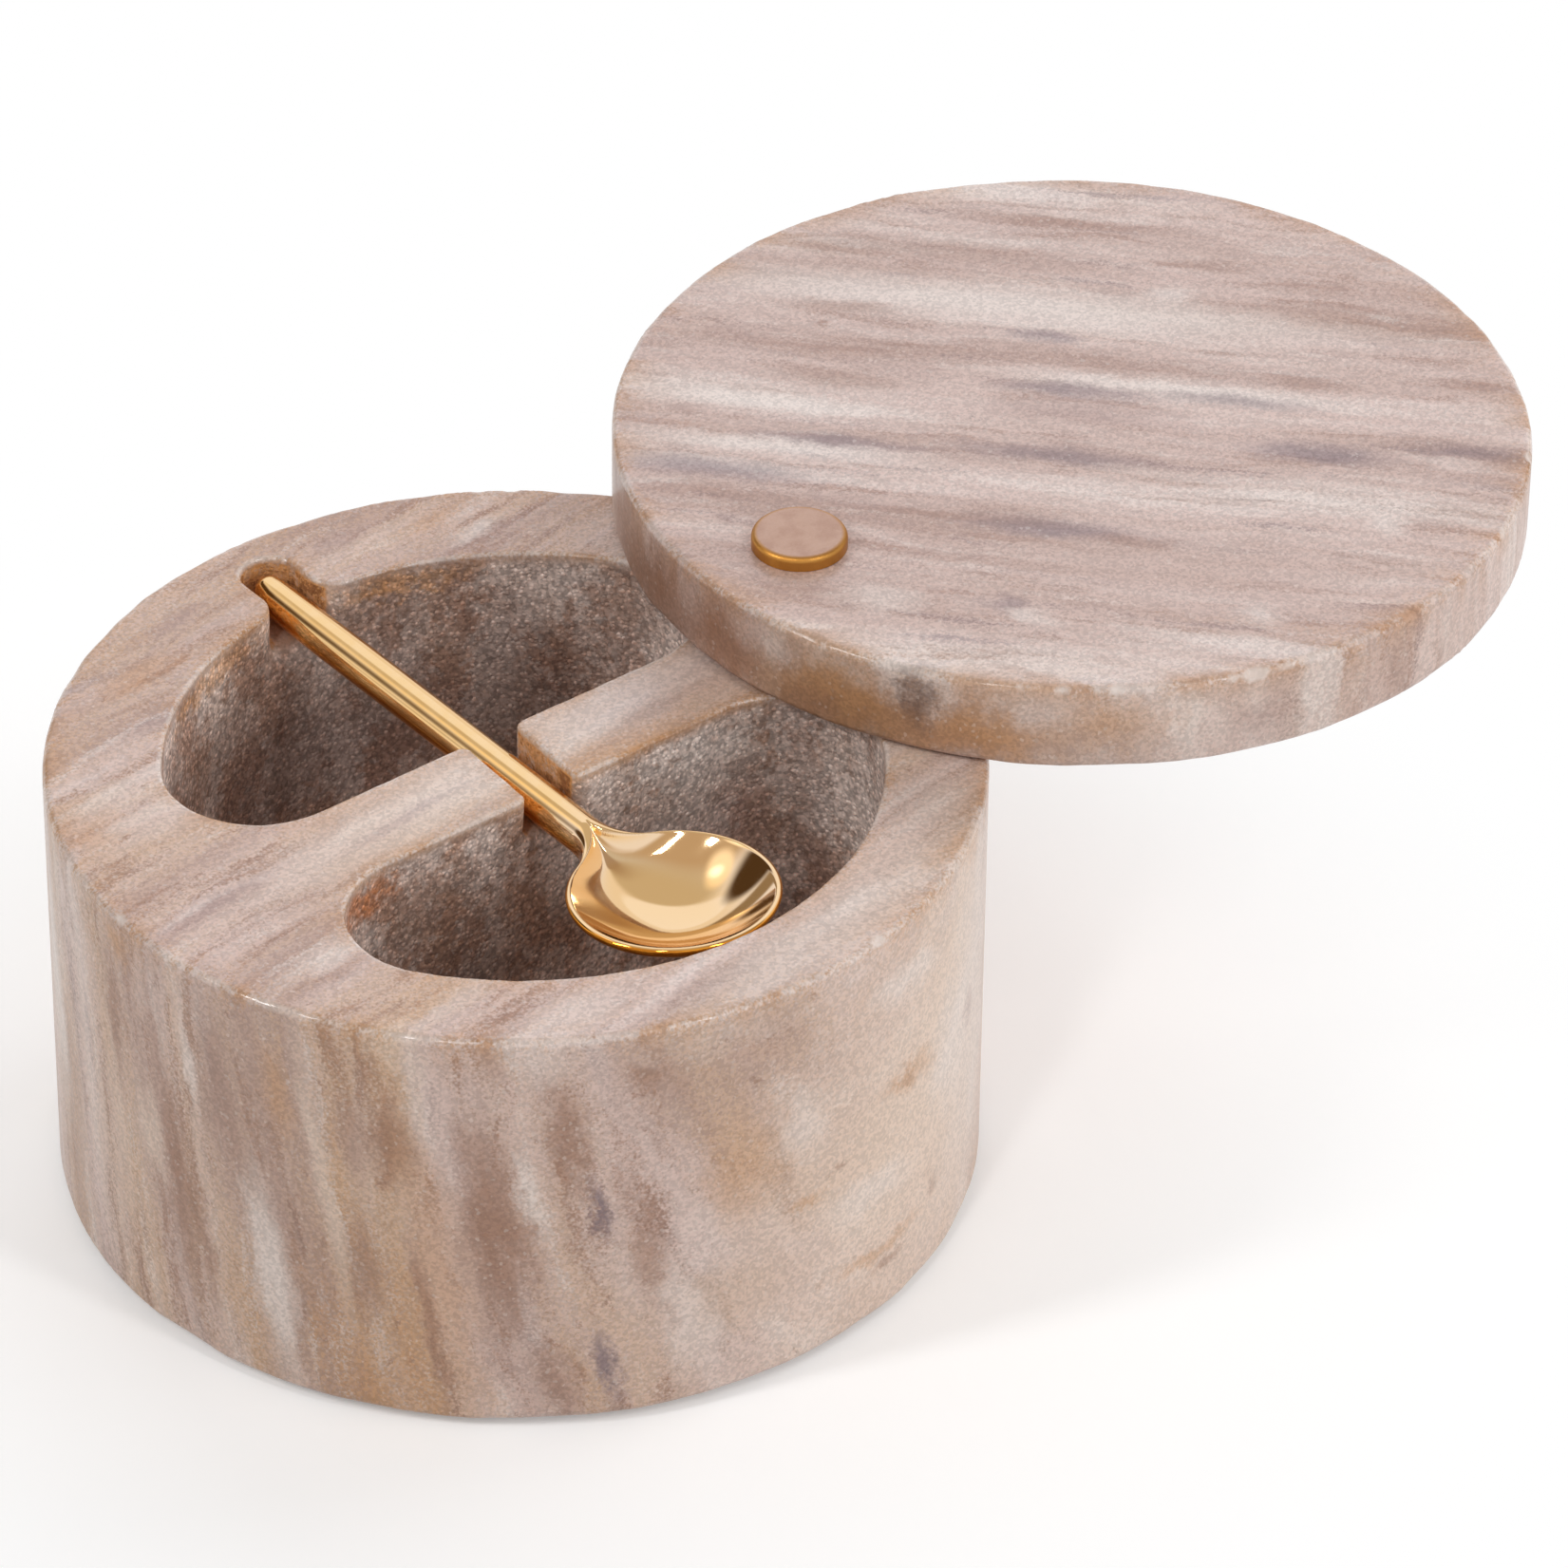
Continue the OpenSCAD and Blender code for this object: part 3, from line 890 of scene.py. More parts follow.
# Heights of the bumps in millimetres
HONED_HEIGHT = 0.008
SAWN_HEIGHT = 0.08
POLISHED_HEIGHT = 0.0005
TURNED_HEIGHT = 0.004
MOULDED_HEIGHT = 0.04

# How each stone is laid: the turn that lays its layers across Y, and how strongly each effect shows
BASE_STONE = {
    "turn": (math.radians(9), 0, math.radians(-8)),
    "band_width": 9.0,
    "streak_width": 2.4,
    "length": 10.0,
    "waviness": 0.9,
    "ground": BEIGE,
    "pale": 0.55,
    "taupe": 0.65,
    "mauve": 0.3,
    "brown": 0.8,
    "light": 0.5,
    "veins": 0.35,
    "amber": 0.65,
    "specks": 0.6,
}
LID_STONE = {
    "turn": (0, 0, math.radians(48)),
    "band_width": 9.0,
    "streak_width": 2.0,
    "length": 12.0,
    "waviness": 0.7,
    "ground": ROSE,
    "pale": 0.8,
    "taupe": 0.75,
    "mauve": 0.5,
    "brown": 0.5,
    "light": 0.4,
    "veins": 0.5,
    "amber": 0.15,
    "specks": 0.2,
}


# What is laid over the marble's ground, in turn: an effect of stone_layers, the value where it starts
# and the one where it is full, the name of its strength above, and its colour
LAYER_EFFECTS = (
    ("Bands", 0.5, 0.72, "pale", PALE),
    ("Bands", 0.5, 0.28, "taupe", TAUPE),
    ("Clouds", 0.5, 0.72, "mauve", MAUVE),
    ("Streaks", 0.52, 0.74, "brown", BROWN),
    ("Streaks", 0.46, 0.26, "light", PALE),
    ("Veins", 0.6, 0.78, "veins", VIOLET),
    ("Rust", 0.56, 0.76, "amber", AMBER),
)


def on_side(angle, height):
    """A place on the base's outside, by its angle from +X in degrees"""
    turn = math.radians(angle)
    return (BODY_R * math.cos(turn), BODY_R * math.sin(turn), height)


def on_top(x, y):
    """A place on the base's top"""
    return (x, y, BODY_TOP)


def on_lid(x, y):
    """A place on the lid's top, from the lid's own middle"""
    return (LID_X + x, y, lid_high[2])


def on_lid_side(angle, drop):
    """A place on the lid's outside, by its angle from +X in degrees and its drop below the top"""
    turn = math.radians(angle)
    return (LID_X + LID_R * math.cos(turn), LID_R * math.sin(turn), lid_high[2] - drop)


# Streaks and spots that stand out: colour, place, reach along the layers, across them and upwards, strength
BASE_SPOTS = [
    (PALE, on_side(-205, 30), (9, 5, 24), 0.6),
    (BROWN, on_side(-184.5, 38), (5, 1.9, 15), 0.75),
    (AMBER, on_side(-183, 48), (5, 3.0, 4), 0.6),
    (CREAM, on_side(-177, 26), (4, 3.0, 9), 0.6),
    (BROWN, on_side(-173, 24), (5, 2.6, 30), 0.8),
    (PALE, on_side(-170, 38), (4, 1.5, 7), 0.5),
    (TAUPE, on_side(-165, 36), (5, 4.0, 24), 0.9),
    (BROWN, on_side(-168, 15), (4, 1.6, 13), 0.7),
    (PALE, on_side(-158, 15), (5, 3.2, 20), 0.8),
    (AMBER, on_side(-157, 40), (5, 2.8, 9), 0.5),
    (BROWN, on_side(-142, 36), (5, 4.0, 8), 0.8),
    (TAUPE, on_side(-147, 36), (4, 2.5, 10), 0.6),
    (BROWN, on_side(-146, 20), (5, 3.6, 10), 0.6),
    (BROWN, on_side(-130, 26), (6, 5.4, 26), 0.9),
    (BROWN, on_side(-123, 6), (5, 3.4, 10), 0.7),
    (PALE, on_side(-126, 31), (2.4, 1.5, 9), 0.65),
    (BROWN, on_side(-121.5, 38), (4, 3.0, 14), 0.8),
    (VIOLET, on_side(-117.8, 28), (2.0, 1.2, 7), 0.9),
    (VIOLET, on_side(-117, 8), (2.6, 1.7, 9), 0.9),
    (PALE, on_side(-106, 12), (7, 3.4, 12), 0.5),
    (BROWN, on_side(-112, 46), (3, 2.4, 3), 0.5),
    (AMBER, on_side(-100, 30), (7, 5.0, 12), 0.5),
    (BEIGE, on_side(-100, 14), (8, 5.0, 9), 0.5),
    # The peach, cream and pale spots on the right of the side, from -91 to -50 degrees, are partly the
    # stone's cream colour and partly painted light on the side turned towards the right-hand lamps
    (PEACH, on_side(-64, 24), (38, 14, 44), 0.75),
    (CREAM, on_side(-64, 24), (38, 14, 44), 0.5),
    (AMBER, on_side(-137, 20), (7, 5.0, 30), 0.5),
    (CREAM, on_side(-151, 30), (5, 1.6, 26), 0.6),
    (BROWN, on_side(-138, 14), (5, 1.4, 20), 0.7),
    (BROWN, on_side(-112, 22), (5, 2.0, 22), 0.6),
    (PALE, on_side(-50, 26), (14, 22, 40), 0.6),
    (PALE, on_side(-73, 43), (9, 4, 4), 0.6),
    (PALE, on_side(-61, 28), (9, 4, 12), 0.6),
    (PALE, on_side(-91, 33), (5, 3, 8), 0.5),
    (BROWN, on_side(-85, 24), (1.8, 2.0, 1.6), 0.6),
    (BROWN, on_side(-73, 30), (2.4, 2.0, 1.2), 0.5),
    (BROWN, on_side(-76, 7), (3.5, 2.0, 1.4), 0.6),
    (BROWN, on_side(-66, 13), (2.2, 2.0, 3.0), 0.5),
    (AMBER, on_side(-72, 30), (9, 3.0, 2.4), 0.5),
    (AMBER, on_side(-90, 22), (4, 3.0, 1.4), 0.5),
    (AMBER, on_side(-78, 10), (11, 3.0, 1.8), 0.5),
    (PALE, on_side(-80, 18), (12, 4.0, 4.0), 0.5),
    (MAUVE, on_side(-56, 28), (2.5, 2.0, 3.0), 0.5),
    (CREAM, on_top(-14, -1.5), (34, 9, 6), 0.6),
    (PINK, on_top(22, -1.5), (22, 9, 6), 0.6),
    (MAUVE, on_top(-40, -2), (12, 1.6, 7), 0.7),
    (MAUVE, on_top(-16, -2), (13, 1.2, 7), 0.7),
    (TAUPE, on_top(-34, -38), (12, 2.0, 7), 0.6),
    (TAUPE, on_top(-10, -43.5), (12, 1.6, 7), 0.5),
    (TAUPE, on_top(16, -2.5), (10, 1.4, 7), 0.5),
    (MAUVE, on_top(-14, 42), (9, 2.0, 7), 0.7),
    (AMBER, on_top(-24, 36), (9, 3.5, 6), 0.5),
    (MAUVE, on_top(9, 43.5), (9, 2.2, 7), 0.6),
    (AMBER, on_top(19, 40), (8, 2.5, 5), 0.5),
    (PALE, on_top(22, 36), (5, 1.8, 4), 0.6),
    (AMBER, on_top(-44, 16), (7, 5.0, 6), 0.5),
    (PALE, on_top(-36, -16), (8, 3.0, 5), 0.5),
    (CREAM, on_top(-41, -30), (7, 3.0, 7), 0.6),
    (CREAM, on_top(36, -22), (12, 6.0, 8), 0.5),
    (PALE, on_top(4, -45), (40, 7.0, 8), 0.5),
    (PALE, on_top(-26, -40), (18, 4.0, 8), 0.4),
    (PALE, on_top(0, 0), (44, 8.0, 8), 0.35),
    (PALE, on_top(10, -42), (8, 2.2, 5), 0.5),
    (AMBER, on_top(28, -41), (9, 3.0, 6), 0.5),
]
LID_SPOTS = [
    # The broad brown, amber and taupe spots on the lid's outside are partly the stone's colour and partly
    # painted shade, warming the side turned away from the back light
    (TAUPE, on_lid_side(-205, 8), (16, 16, 8), 0.5),
    (BROWN, on_lid_side(-150, 8), (40, 18, 6.5), 0.8),
    (AMBER, on_lid_side(-160, 8), (34, 16, 6.0), 0.6),
    (PALE, on_lid(10, 22), (60, 6.0, 30), 0.8),
    (PALE, on_lid(-24, 24), (24, 3.0, 20), 0.85),
    (PALE, on_lid(-28, 16), (24, 2.6, 20), 0.8),
    (PALE, on_lid(14, -3), (30, 3.0, 20), 0.75),
    (PALE, on_lid(25, 13), (5, 3.0, 6), 0.6),
    (PALE, on_lid(14, -36), (4, 3.2, 5), 0.6),
    (PALE, on_lid(-8, -40), (4, 2.6, 5), 0.6),
    (PALE, on_lid(-27, -26), (4, 2.8, 5), 0.6),
    (PALE, on_lid(-38, -13), (7, 4.0, 8), 0.5),
    (ROSE, on_lid(-8, -28), (30, 10, 12), 0.7),
    (TAUPE, on_lid(12, 34), (26, 4.0, 20), 0.6),
    (BROWN, on_lid(25, 32), (20, 2.0, 20), 0.55),
    (BROWN, on_lid(1, 44), (10, 1.8, 20), 0.5),
    (BROWN, on_lid(32, 15), (10, 1.6, 20), 0.5),
    (TAUPE, on_lid(-5, 33), (12, 2.1, 20), 0.6),
    (BROWN, on_lid(-9, 32), (1.8, 1.4, 4), 0.6),
    (VIOLET, on_lid(8.5, 15.5), (5, 1.8, 5), 0.6),
    (VIOLET, on_lid(-37, 18), (18, 3.0, 14), 0.6),
    (VIOLET, on_lid(-22, 12.5), (14, 1.8, 10), 0.6),
    (TAUPE, on_lid(-15, 23), (13, 3.0, 14), 0.6),
    (VIOLET, on_lid(3.5, 5.5), (13, 2.2, 10), 0.65),
    (MAUVE, on_lid(2, 1), (16, 4.0, 12), 0.6),
    (VIOLET, on_lid(-5.5, -4), (17, 2.4, 12), 0.65),
    (VIOLET, on_lid(-15, -14), (15, 2.8, 10), 0.65),
    (TAUPE, on_lid(-18, -8), (14, 3.0, 10), 0.4),
    (BROWN, on_lid(-10, -21), (7, 2.0, 9), 0.5),
    (VIOLET, on_lid(17.5, -21.5), (11, 3.0, 10), 0.7),
    (VIOLET, on_lid(17, -8), (12, 2.0, 10), 0.55),
    (TAUPE, on_lid(25.5, -10), (7, 1.9, 10), 0.65),
    (VIOLET, on_lid(31, -32), (12, 2.2, 12), 0.6),
    (BROWN, on_lid(40, -22), (7, 2.4, 14), 0.55),
    (VIOLET, on_lid(-27.5, -22), (3.8, 2.8, 6), 0.5),
    (TAUPE, on_lid(-23.5, -4), (8, 1.3, 10), 0.6),
    # Partly the stone's colour, partly painted shade warming the lid's outside where the back light does
    # not reach
    (BROWN, on_lid_side(-195, 7), (16, 16, 7), 0.9),
    (BROWN, on_lid_side(-178, 7), (10, 8, 6), 0.85),
    (AMBER, on_lid_side(-160, 5), (9, 9, 6), 0.55),
    (AMBER, on_lid_side(-140, 6), (10, 10, 5), 0.6),
    (DEEP_STAIN_AND_SHADE, on_lid_side(-149, 3), (2.6, 2.2, 6), 0.75),
    (BROWN, on_lid_side(-162, 9), (8, 8, 3), 0.5),
    (AMBER, on_lid_side(-125, 5), (9, 9, 5), 0.5),
    (PALE, on_lid_side(-117, 4), (2.4, 2.0, 6), 0.7),
    (MAUVE, on_lid_side(-106, 6), (5, 4, 5), 0.5),
    (PALE, on_lid_side(-101, 6), (2.0, 1.8, 5), 0.5),
    (TAUPE, on_lid_side(-86, 6), (3, 3, 6), 0.4),
]
# The same inside the wells; the dark brown spots deep in them and in the front well under the spoon's bowl
# are partly dark stain and partly painted shade
WELL_SPOTS = [
    (DEEP_STAIN_AND_SHADE, (-4, 36, 30), (30, 8, 15), 0.6),
    (DEEP_STAIN_AND_SHADE, (24, 30, 32), (16, 14, 18), 0.6),
    (PALE, (-38, 6, 38), (9, 12, 10), 0.7),
    (WELL_GREY, (-30, 24, 34), (9, 12, 14), 0.5),
    (WELL_GREY, (3, 36, 40), (3, 4, 10), 0.6),
    (DEEP_STAIN_AND_SHADE, (-14, -7, 30), (14, 4, 12), 0.5),
    (GOLDEN_STAIN_AND_SHADE, (-18, 33, 49), (18, 9, 2.4), 0.5),
    (GOLDEN_STAIN_AND_SHADE, (12, 36, 49), (16, 6, 2.6), 0.55),
    (PALE, (18, -7, 47), (22, 2.5, 7), 0.8),
    (PALE, (12, -7, 38), (16, 2.5, 9), 0.5),
    (MAUVE, (24, -7, 37), (8, 2.5, 8), 0.5),
    (RUST, (-27, -9, 48), (9, 6, 4), 0.75),
    (BROWN, (-30, -14, 44), (9, 9, 8), 0.6),
    (WELL_GREY, (-30, -18, 36), (9, 10, 10), 0.5),
    (DEEP_STAIN_AND_SHADE, (-6, -20, 22), (26, 14, 12), 0.6),
    (PALE, (30, -18, 38), (9, 9, 14), 0.5),
]


def add_spots(tree, colour, where, spots, turn):
    """Lays single streaks and spots over a colour"""
    lay = Euler(turn).to_matrix()
    for shade, point, reach, strength in spots:
        centre = lay @ Vector(point)
        spot = use_group(tree, soft_spot, Vector=where, Centre=centre, Reach=reach, Strength=strength)
        colour = mix_colours(tree, spot.outputs["Mask"], colour, shade)
    return colour


def layered_colour(tree, layers, look):
    """The marble's ground, bands, streaks and veins"""
    colour = mix_colours(tree, ramp(tree, layers.outputs["Rust"], 0.35, 0.65), PINK, look["ground"])
    for effect, low, high, strength, shade in LAYER_EFFECTS:
        share = ramp(tree, layers.outputs[effect], low, high, 0, look[strength])
        colour = mix_colours(tree, share, colour, shade)
    specks = noise(tree, layers.outputs["Placed"], 2.0, 2, 0.5)
    return mix_colours(tree, ramp(tree, specks, 0.64, 0.76, 0, look["specks"]), colour, BROWN)


def marble(name, look, spots):
    """A layered marble with its streaks and its worn edges with their amber stain, up to where
    finish_marble goes on
    """
    material, tree, shader = new_material(name)
    where = in_millimetres(tree)
    turned = place(tree, "ShaderNodeMapping", {"vector_type": "POINT"}, Vector=where, Rotation=look["turn"])
    layers = use_group(
        tree,
        stone_layers,
        Vector=turned.outputs[0],
        Band_Width=look["band_width"],
        Streak_Width=look["streak_width"],
        Length=look["length"],
        Waviness=look["waviness"],
        Grain=0.3,
    )
    colour = layered_colour(tree, layers, look)
    colour = add_spots(tree, colour, layers.outputs["Placed"], spots, look["turn"])
    clouds = layers.outputs["Clouds"]
    near_edge = mask_of(tree, "near_edge")
    stain = calculate(tree, "MULTIPLY", near_edge, ramp(tree, clouds, 0.4, 0.6))
    colour = mix_colours(tree, calculate(tree, "MULTIPLY", stain, 0.7), colour, AMBER)
    worn = calculate(tree, "MULTIPLY", ramp(tree, near_edge, 0.6, 0.9), ramp(tree, clouds, 0.62, 0.42))
    colour = mix_colours(tree, calculate(tree, "MULTIPLY", worn, 0.6), colour, PALE)
    crystals = use_group(tree, stone_crystals, Vector=where, Size=0.36)
    roughness = ramp(tree, clouds, 0.3, 0.7, 0.28, 0.4)
    rubbed = ramp(tree, near_edge, 0.55, 0.85, 1, 0.5)
    roughness = calculate(tree, "MULTIPLY", roughness, rubbed)
    return material, tree, shader, where, colour, crystals, roughness


def finish_marble(tree, shader, colour, crystals, height, roughness):
    """Adds the crystal speckle and the fresh chips, and feeds the shader"""
    speckle = ramp(tree, crystals.outputs["Speckle"], 0, 1, 0.87, 1.1)
    colour = mix_colours(tree, 1.0, colour, grey_colour(tree, speckle), "MULTIPLY")
    colour = mix_colours(tree, calculate(tree, "MULTIPLY", crystals.outputs["Flecks"], 0.25), colour, PALE)
    chipped = mask_of(tree, "in_chip")
    colour = mix_colours(tree, calculate(tree, "MULTIPLY", chipped, 0.7), colour, PALE)
    roughness = calculate(tree, "ADD", roughness, calculate(tree, "MULTIPLY", chipped, 0.3), clamp=True)
    feed_shader(tree, shader, colour, roughness, height)


def lid_marble():
    """Honed marble of the lid"""
    made = marble("marble_lid", LID_STONE, LID_SPOTS)
    material, tree, shader, _, colour, crystals, roughness = made
    height = calculate(tree, "MULTIPLY", crystals.outputs["Height"], HONED_HEIGHT)
    finish_marble(tree, shader, colour, crystals, height, roughness)
    return material


def base_marble():
    """Honed marble of the base, with raw, sawn walls in its wells and its slot"""
    made = marble("marble_base", BASE_STONE, BASE_SPOTS)
    material, tree, shader, where, colour, crystals, roughness = made
    in_well = mask_of(tree, "in_well")
    in_slot = mask_of(tree, "in_slot")
    sawn = use_group(tree, stone_crystals, Vector=where, Size=0.5)
    ragged = noise(tree, where, 1.6, 4, 0.65, colour=True)
    ragged = calculate_vector(tree, "SUBTRACT", ragged, HALF)
    ragged = calculate_vector(tree, "MULTIPLY", ragged, (9, 9, 9))
    ragged = calculate_vector(tree, "ADD", where, ragged)
    clouds = noise(tree, calculate_vector(tree, "MULTIPLY", ragged, (1, 1, 0.5)), 6, 2, 0.5)
    shade = mix_colours(tree, ramp(tree, clouds, 0.35, 0.65), WELL_BROWN, WELL_GREY)
    shade = mix_colours(tree, 0.25, shade, colour)
    shade = add_spots(tree, shade, ragged, WELL_SPOTS, (0, 0, 0))
    grit = ramp(tree, sawn.outputs["Salt"], 0, 0.6, 0.86, 1.3)
    grit = calculate(tree, "MULTIPLY", grit, ramp(tree, sawn.outputs["Speckle"], 0, 1, 0.72, 1.3))
    shade = mix_colours(tree, 1.0, shade, grey_colour(tree, grit), "MULTIPLY")
    colour = mix_colours(tree, in_well, colour, shade)
    # The slot's and notch's walls: partly amber stain, partly painted shade with a gold tint under the
    # spoon's handle; golden, and sienna where the patches are strongest
    drip_and_shade_patches = noise(tree, calculate_vector(tree, "MULTIPLY", ragged, (1, 1, 0.4)), 3, 3, 0.6)
    slot_stain_and_shade = calculate(tree, "MULTIPLY", in_slot, ramp(tree, drip_and_shade_patches, 0.3, 0.7, 0.35, 1.3))
    colour = mix_colours(tree, ramp(tree, slot_stain_and_shade, 0.2, 0.8, 0, 0.8), colour, GOLDEN_STAIN_AND_SHADE)
    colour = mix_colours(tree, ramp(tree, slot_stain_and_shade, 0.75, 1.15, 0, 0.8), colour, SIENNA_STAIN_AND_SHADE)
    raw = calculate(tree, "MAXIMUM", in_well, in_slot)
    honed = calculate(tree, "MULTIPLY", crystals.outputs["Height"], HONED_HEIGHT)
    grains = calculate(tree, "MULTIPLY", sawn.outputs["Salt"], SAWN_HEIGHT)
    height = calculate(tree, "ADD", honed, calculate(tree, "MULTIPLY", grains, raw))
    roughness = calculate(tree, "ADD", roughness, calculate(tree, "MULTIPLY", raw, 0.5), clamp=True)
    finish_marble(tree, shader, colour, crystals, height, roughness)
    return material


def polished_gold():
    """Bright gold of the spoon, with painted reflections: paler in the dish, deeper orange underneath and
    on the bowl's rim
    """
    material, tree, shader = new_material("polished_gold")
    shader.inputs["Metallic"].default_value = 1
    where = in_millimetres(tree)
    wear = use_group(tree, fine_wear, Vector=where, Stretch=(1, 0.06, 1), Hairline=0.12)
    smudge = ramp(tree, wear.outputs["Smudges"], 0.35, 0.7)
    gold = mix_colours(tree, smudge, GOLD, SMUDGED_GOLD)
    along = place(tree, "ShaderNodeSeparateXYZ", Vector=where).outputs["Y"]
    facing = place(tree, "ShaderNodeTexCoord").outputs["Normal"]
    facing_up = place(tree, "ShaderNodeSeparateXYZ", Vector=facing).outputs["Z"]
    in_bowl = ramp(tree, along, SPOON_BACK_Y - NECK_U + NECK_R, SPOON_BACK_Y - NECK_U)
    # Painted reflection: paler gold where the dish faces up, palest on its steep walls, deeper orange where
    # the spoon faces down and on the bowl's rim
    dish_reflection_share = calculate(tree, "MULTIPLY", in_bowl, ramp(tree, facing_up, 0.3, 0.5))
    gold = mix_colours(tree, dish_reflection_share, gold, DISH_REFLECTION_GOLD)
    steep_reflection_share = calculate(tree, "MULTIPLY", dish_reflection_share, ramp(tree, facing_up, 0.95, 0.8))
    gold = mix_colours(tree, steep_reflection_share, gold, STEEP_REFLECTION_GOLD)
    gold = mix_colours(tree, ramp(tree, facing_up, 0.3, -0.1), gold, UNDERSIDE_REFLECTION_GOLD)
    on_rim = ramp(tree, off_axis(tree, SPOON_X, SPOON_BACK_Y - BOWL_U), BOWL_R - 0.3, BOWL_R - 0.1)
    past_neck = ramp(tree, along, SPOON_BACK_Y - JOIN_U, SPOON_BACK_Y - JOIN_U - BOWL_WALL)
    gold = mix_colours(tree, calculate(tree, "MULTIPLY", on_rim, past_neck), gold, UNDERSIDE_REFLECTION_GOLD)
    roughness = ramp(tree, wear.outputs["Smudges"], 0.3, 0.75, 0.05, 0.1)
    height = calculate(tree, "MULTIPLY", wear.outputs["Hairlines"], POLISHED_HEIGHT)
    feed_shader(tree, shader, gold, roughness, height, 0.6)
    return material


def satin_brass(name, colour, worn, edge, edge_r, roughness):
    """Dull brass of the screw and the insert, in another colour beyond the radius of its edge"""
    material, tree, shader = new_material(name)
    shader.inputs["Metallic"].default_value = 1
    wear = use_group(tree, fine_wear, Vector=in_millimetres(tree), Stretch=(1, 1, 0.1), Hairline=0.16)
    smudge = ramp(tree, wear.outputs["Smudges"], 0.35, 0.7)
    shade = mix_colours(tree, smudge, colour, worn)
    rim = ramp(tree, off_axis(tree, PIVOT_X, 0), edge_r - 0.5, edge_r + 0.1)
    shade = mix_colours(tree, rim, shade, edge)
    dull = ramp(tree, wear.outputs["Hairlines"], 0.3, 0.7, roughness - 0.06, roughness + 0.06)
    height = calculate(tree, "MULTIPLY", wear.outputs["Hairlines"], TURNED_HEIGHT)
    feed_shader(tree, shader, shade, dull, height, 0.7)
    return material


def soft_matt(name, light, dark, size, roughness):
    """Matt plastic or rubber with a fine moulded grain"""
    material, tree, shader = new_material(name)
    grain = noise(tree, in_millimetres(tree), size, 3, 0.6)
    shade = mix_colours(tree, ramp(tree, grain, 0.35, 0.65), light, dark)
    dull = ramp(tree, grain, 0.3, 0.7, roughness - 0.05, roughness + 0.05)
    height = calculate(tree, "MULTIPLY", grain, MOULDED_HEIGHT)
    feed_shader(tree, shader, shade, dull, height, 0.8)
    return material


def wear_material(piece, material):
    """Gives a piece one material"""
    piece.data.materials.clear()
    piece.data.materials.append(material)


base_piece = dress_base()
lid_piece = dress_lid()
spoon_piece = make_spoon()

for piece, node, body, slot_name in (
    (base_piece, "base", "body", "marble"),
    (lid_piece, "lid", "lid", "marble"),
    (spoon_piece, "spoon", "spoon", "spoon_gold"),
):
    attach(piece, body)
    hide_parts(node)

wear_material(base_piece, base_marble())
wear_material(lid_piece, lid_marble())
wear_material(spoon_piece, polished_gold())
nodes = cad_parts
head_edge_r = (screw_high[0] - screw_low[0]) / 2 - 0.3
head_brass = satin_brass("coppery_brass", COPPERY, COPPERY_WORN, COPPERY_EDGE, head_edge_r, 0.42)
insert_brass = satin_brass("turned_brass", BRASS, BRASS_WORN, BRASS, INSERT_HOLE_R, 0.34)
wear_material(nodes["pivot_screw"], head_brass)
wear_material(nodes["threaded_insert"], insert_brass)
wear_material(nodes["spacer_washer"], soft_matt("washer_nylon", NYLON, NYLON_DARK, 0.5, 0.5))
wear_material(nodes["foot_pad"], soft_matt("pad_rubber", RUBBER, RUBBER_DARK, 0.7, 0.85))


# Floor, backdrop and light

# Strength of the white world as a light; as a background it is 1, which is white
WORLD_LIGHT = 0.285
# Colour and glow of the floor where it is seen, which show its shadow faintly, and its colour as a light
FLOOR_SEEN = (0.85, 0.845, 0.84, 1)
FLOOR_GLOW = 0.23
FLOOR_COLOUR = (0.8, 0.79, 0.78, 1)
# Sides of the floor in metres
FLOOR_SIZE = 6
# How far from the object the seen floor starts to fade into white, and is white, in metres
FADE_START = 0.06
FADE_END = 0.13
# The sky that polished metal sees, below and above, and the shares of its height where it turns
SKY_LOW = (0.9, 0.88, 0.95, 1)
SKY_HIGH = (0.62, 0.57, 0.52, 1)
SKY_TURN = (0.66, 0.78)
# Things of the studio that only polished metal sees
COOL_SOFTBOX = (1.0, 1.05, 1.3, 1)
TAN_WALL = (0.55, 0.42, 0.3, 1)
BROWN_WALL = (0.42, 0.33, 0.27, 1)
DARK_CORNER = (0.08, 0.045, 0.02, 1)
LOW_SHADE = (0.3, 0.22, 0.14, 1)
WARM_GLOW = (1.2, 1.05, 0.85, 1)
BRIGHT_LAMP = (1.9, 1.9, 1.9, 1)
# Where they are: azimuth and height in degrees, reach, the share of it that is even, and colour
STUDIO_PATCHES = (
    (62, 36, (0.5, 1.2, 0.21), 0.85, COOL_SOFTBOX),
    (185, 36, (0.75, 1.2, 0.5), 0.75, TAN_WALL),
    (-25, 52, (0.45, 1.2, 0.27), 0.7, BROWN_WALL),
    (112, 27, (0.4, 1.2, 0.24), 0.6, DARK_CORNER),
    (152, 16, (0.3, 1.2, 0.16), 0.6, LOW_SHADE),
    (5, 10, (0.3, 1.2, 0.2), 0.6, LOW_SHADE),
    (85, 12, (0.5, 1.2, 0.12), 0.6, LOW_SHADE),
    (126, 49, (0.3, 1.2, 0.1), 0.5, WARM_GLOW),
    (124, 51, (0.11, 1.2, 0.06), 0.2, BRIGHT_LAMP),
)
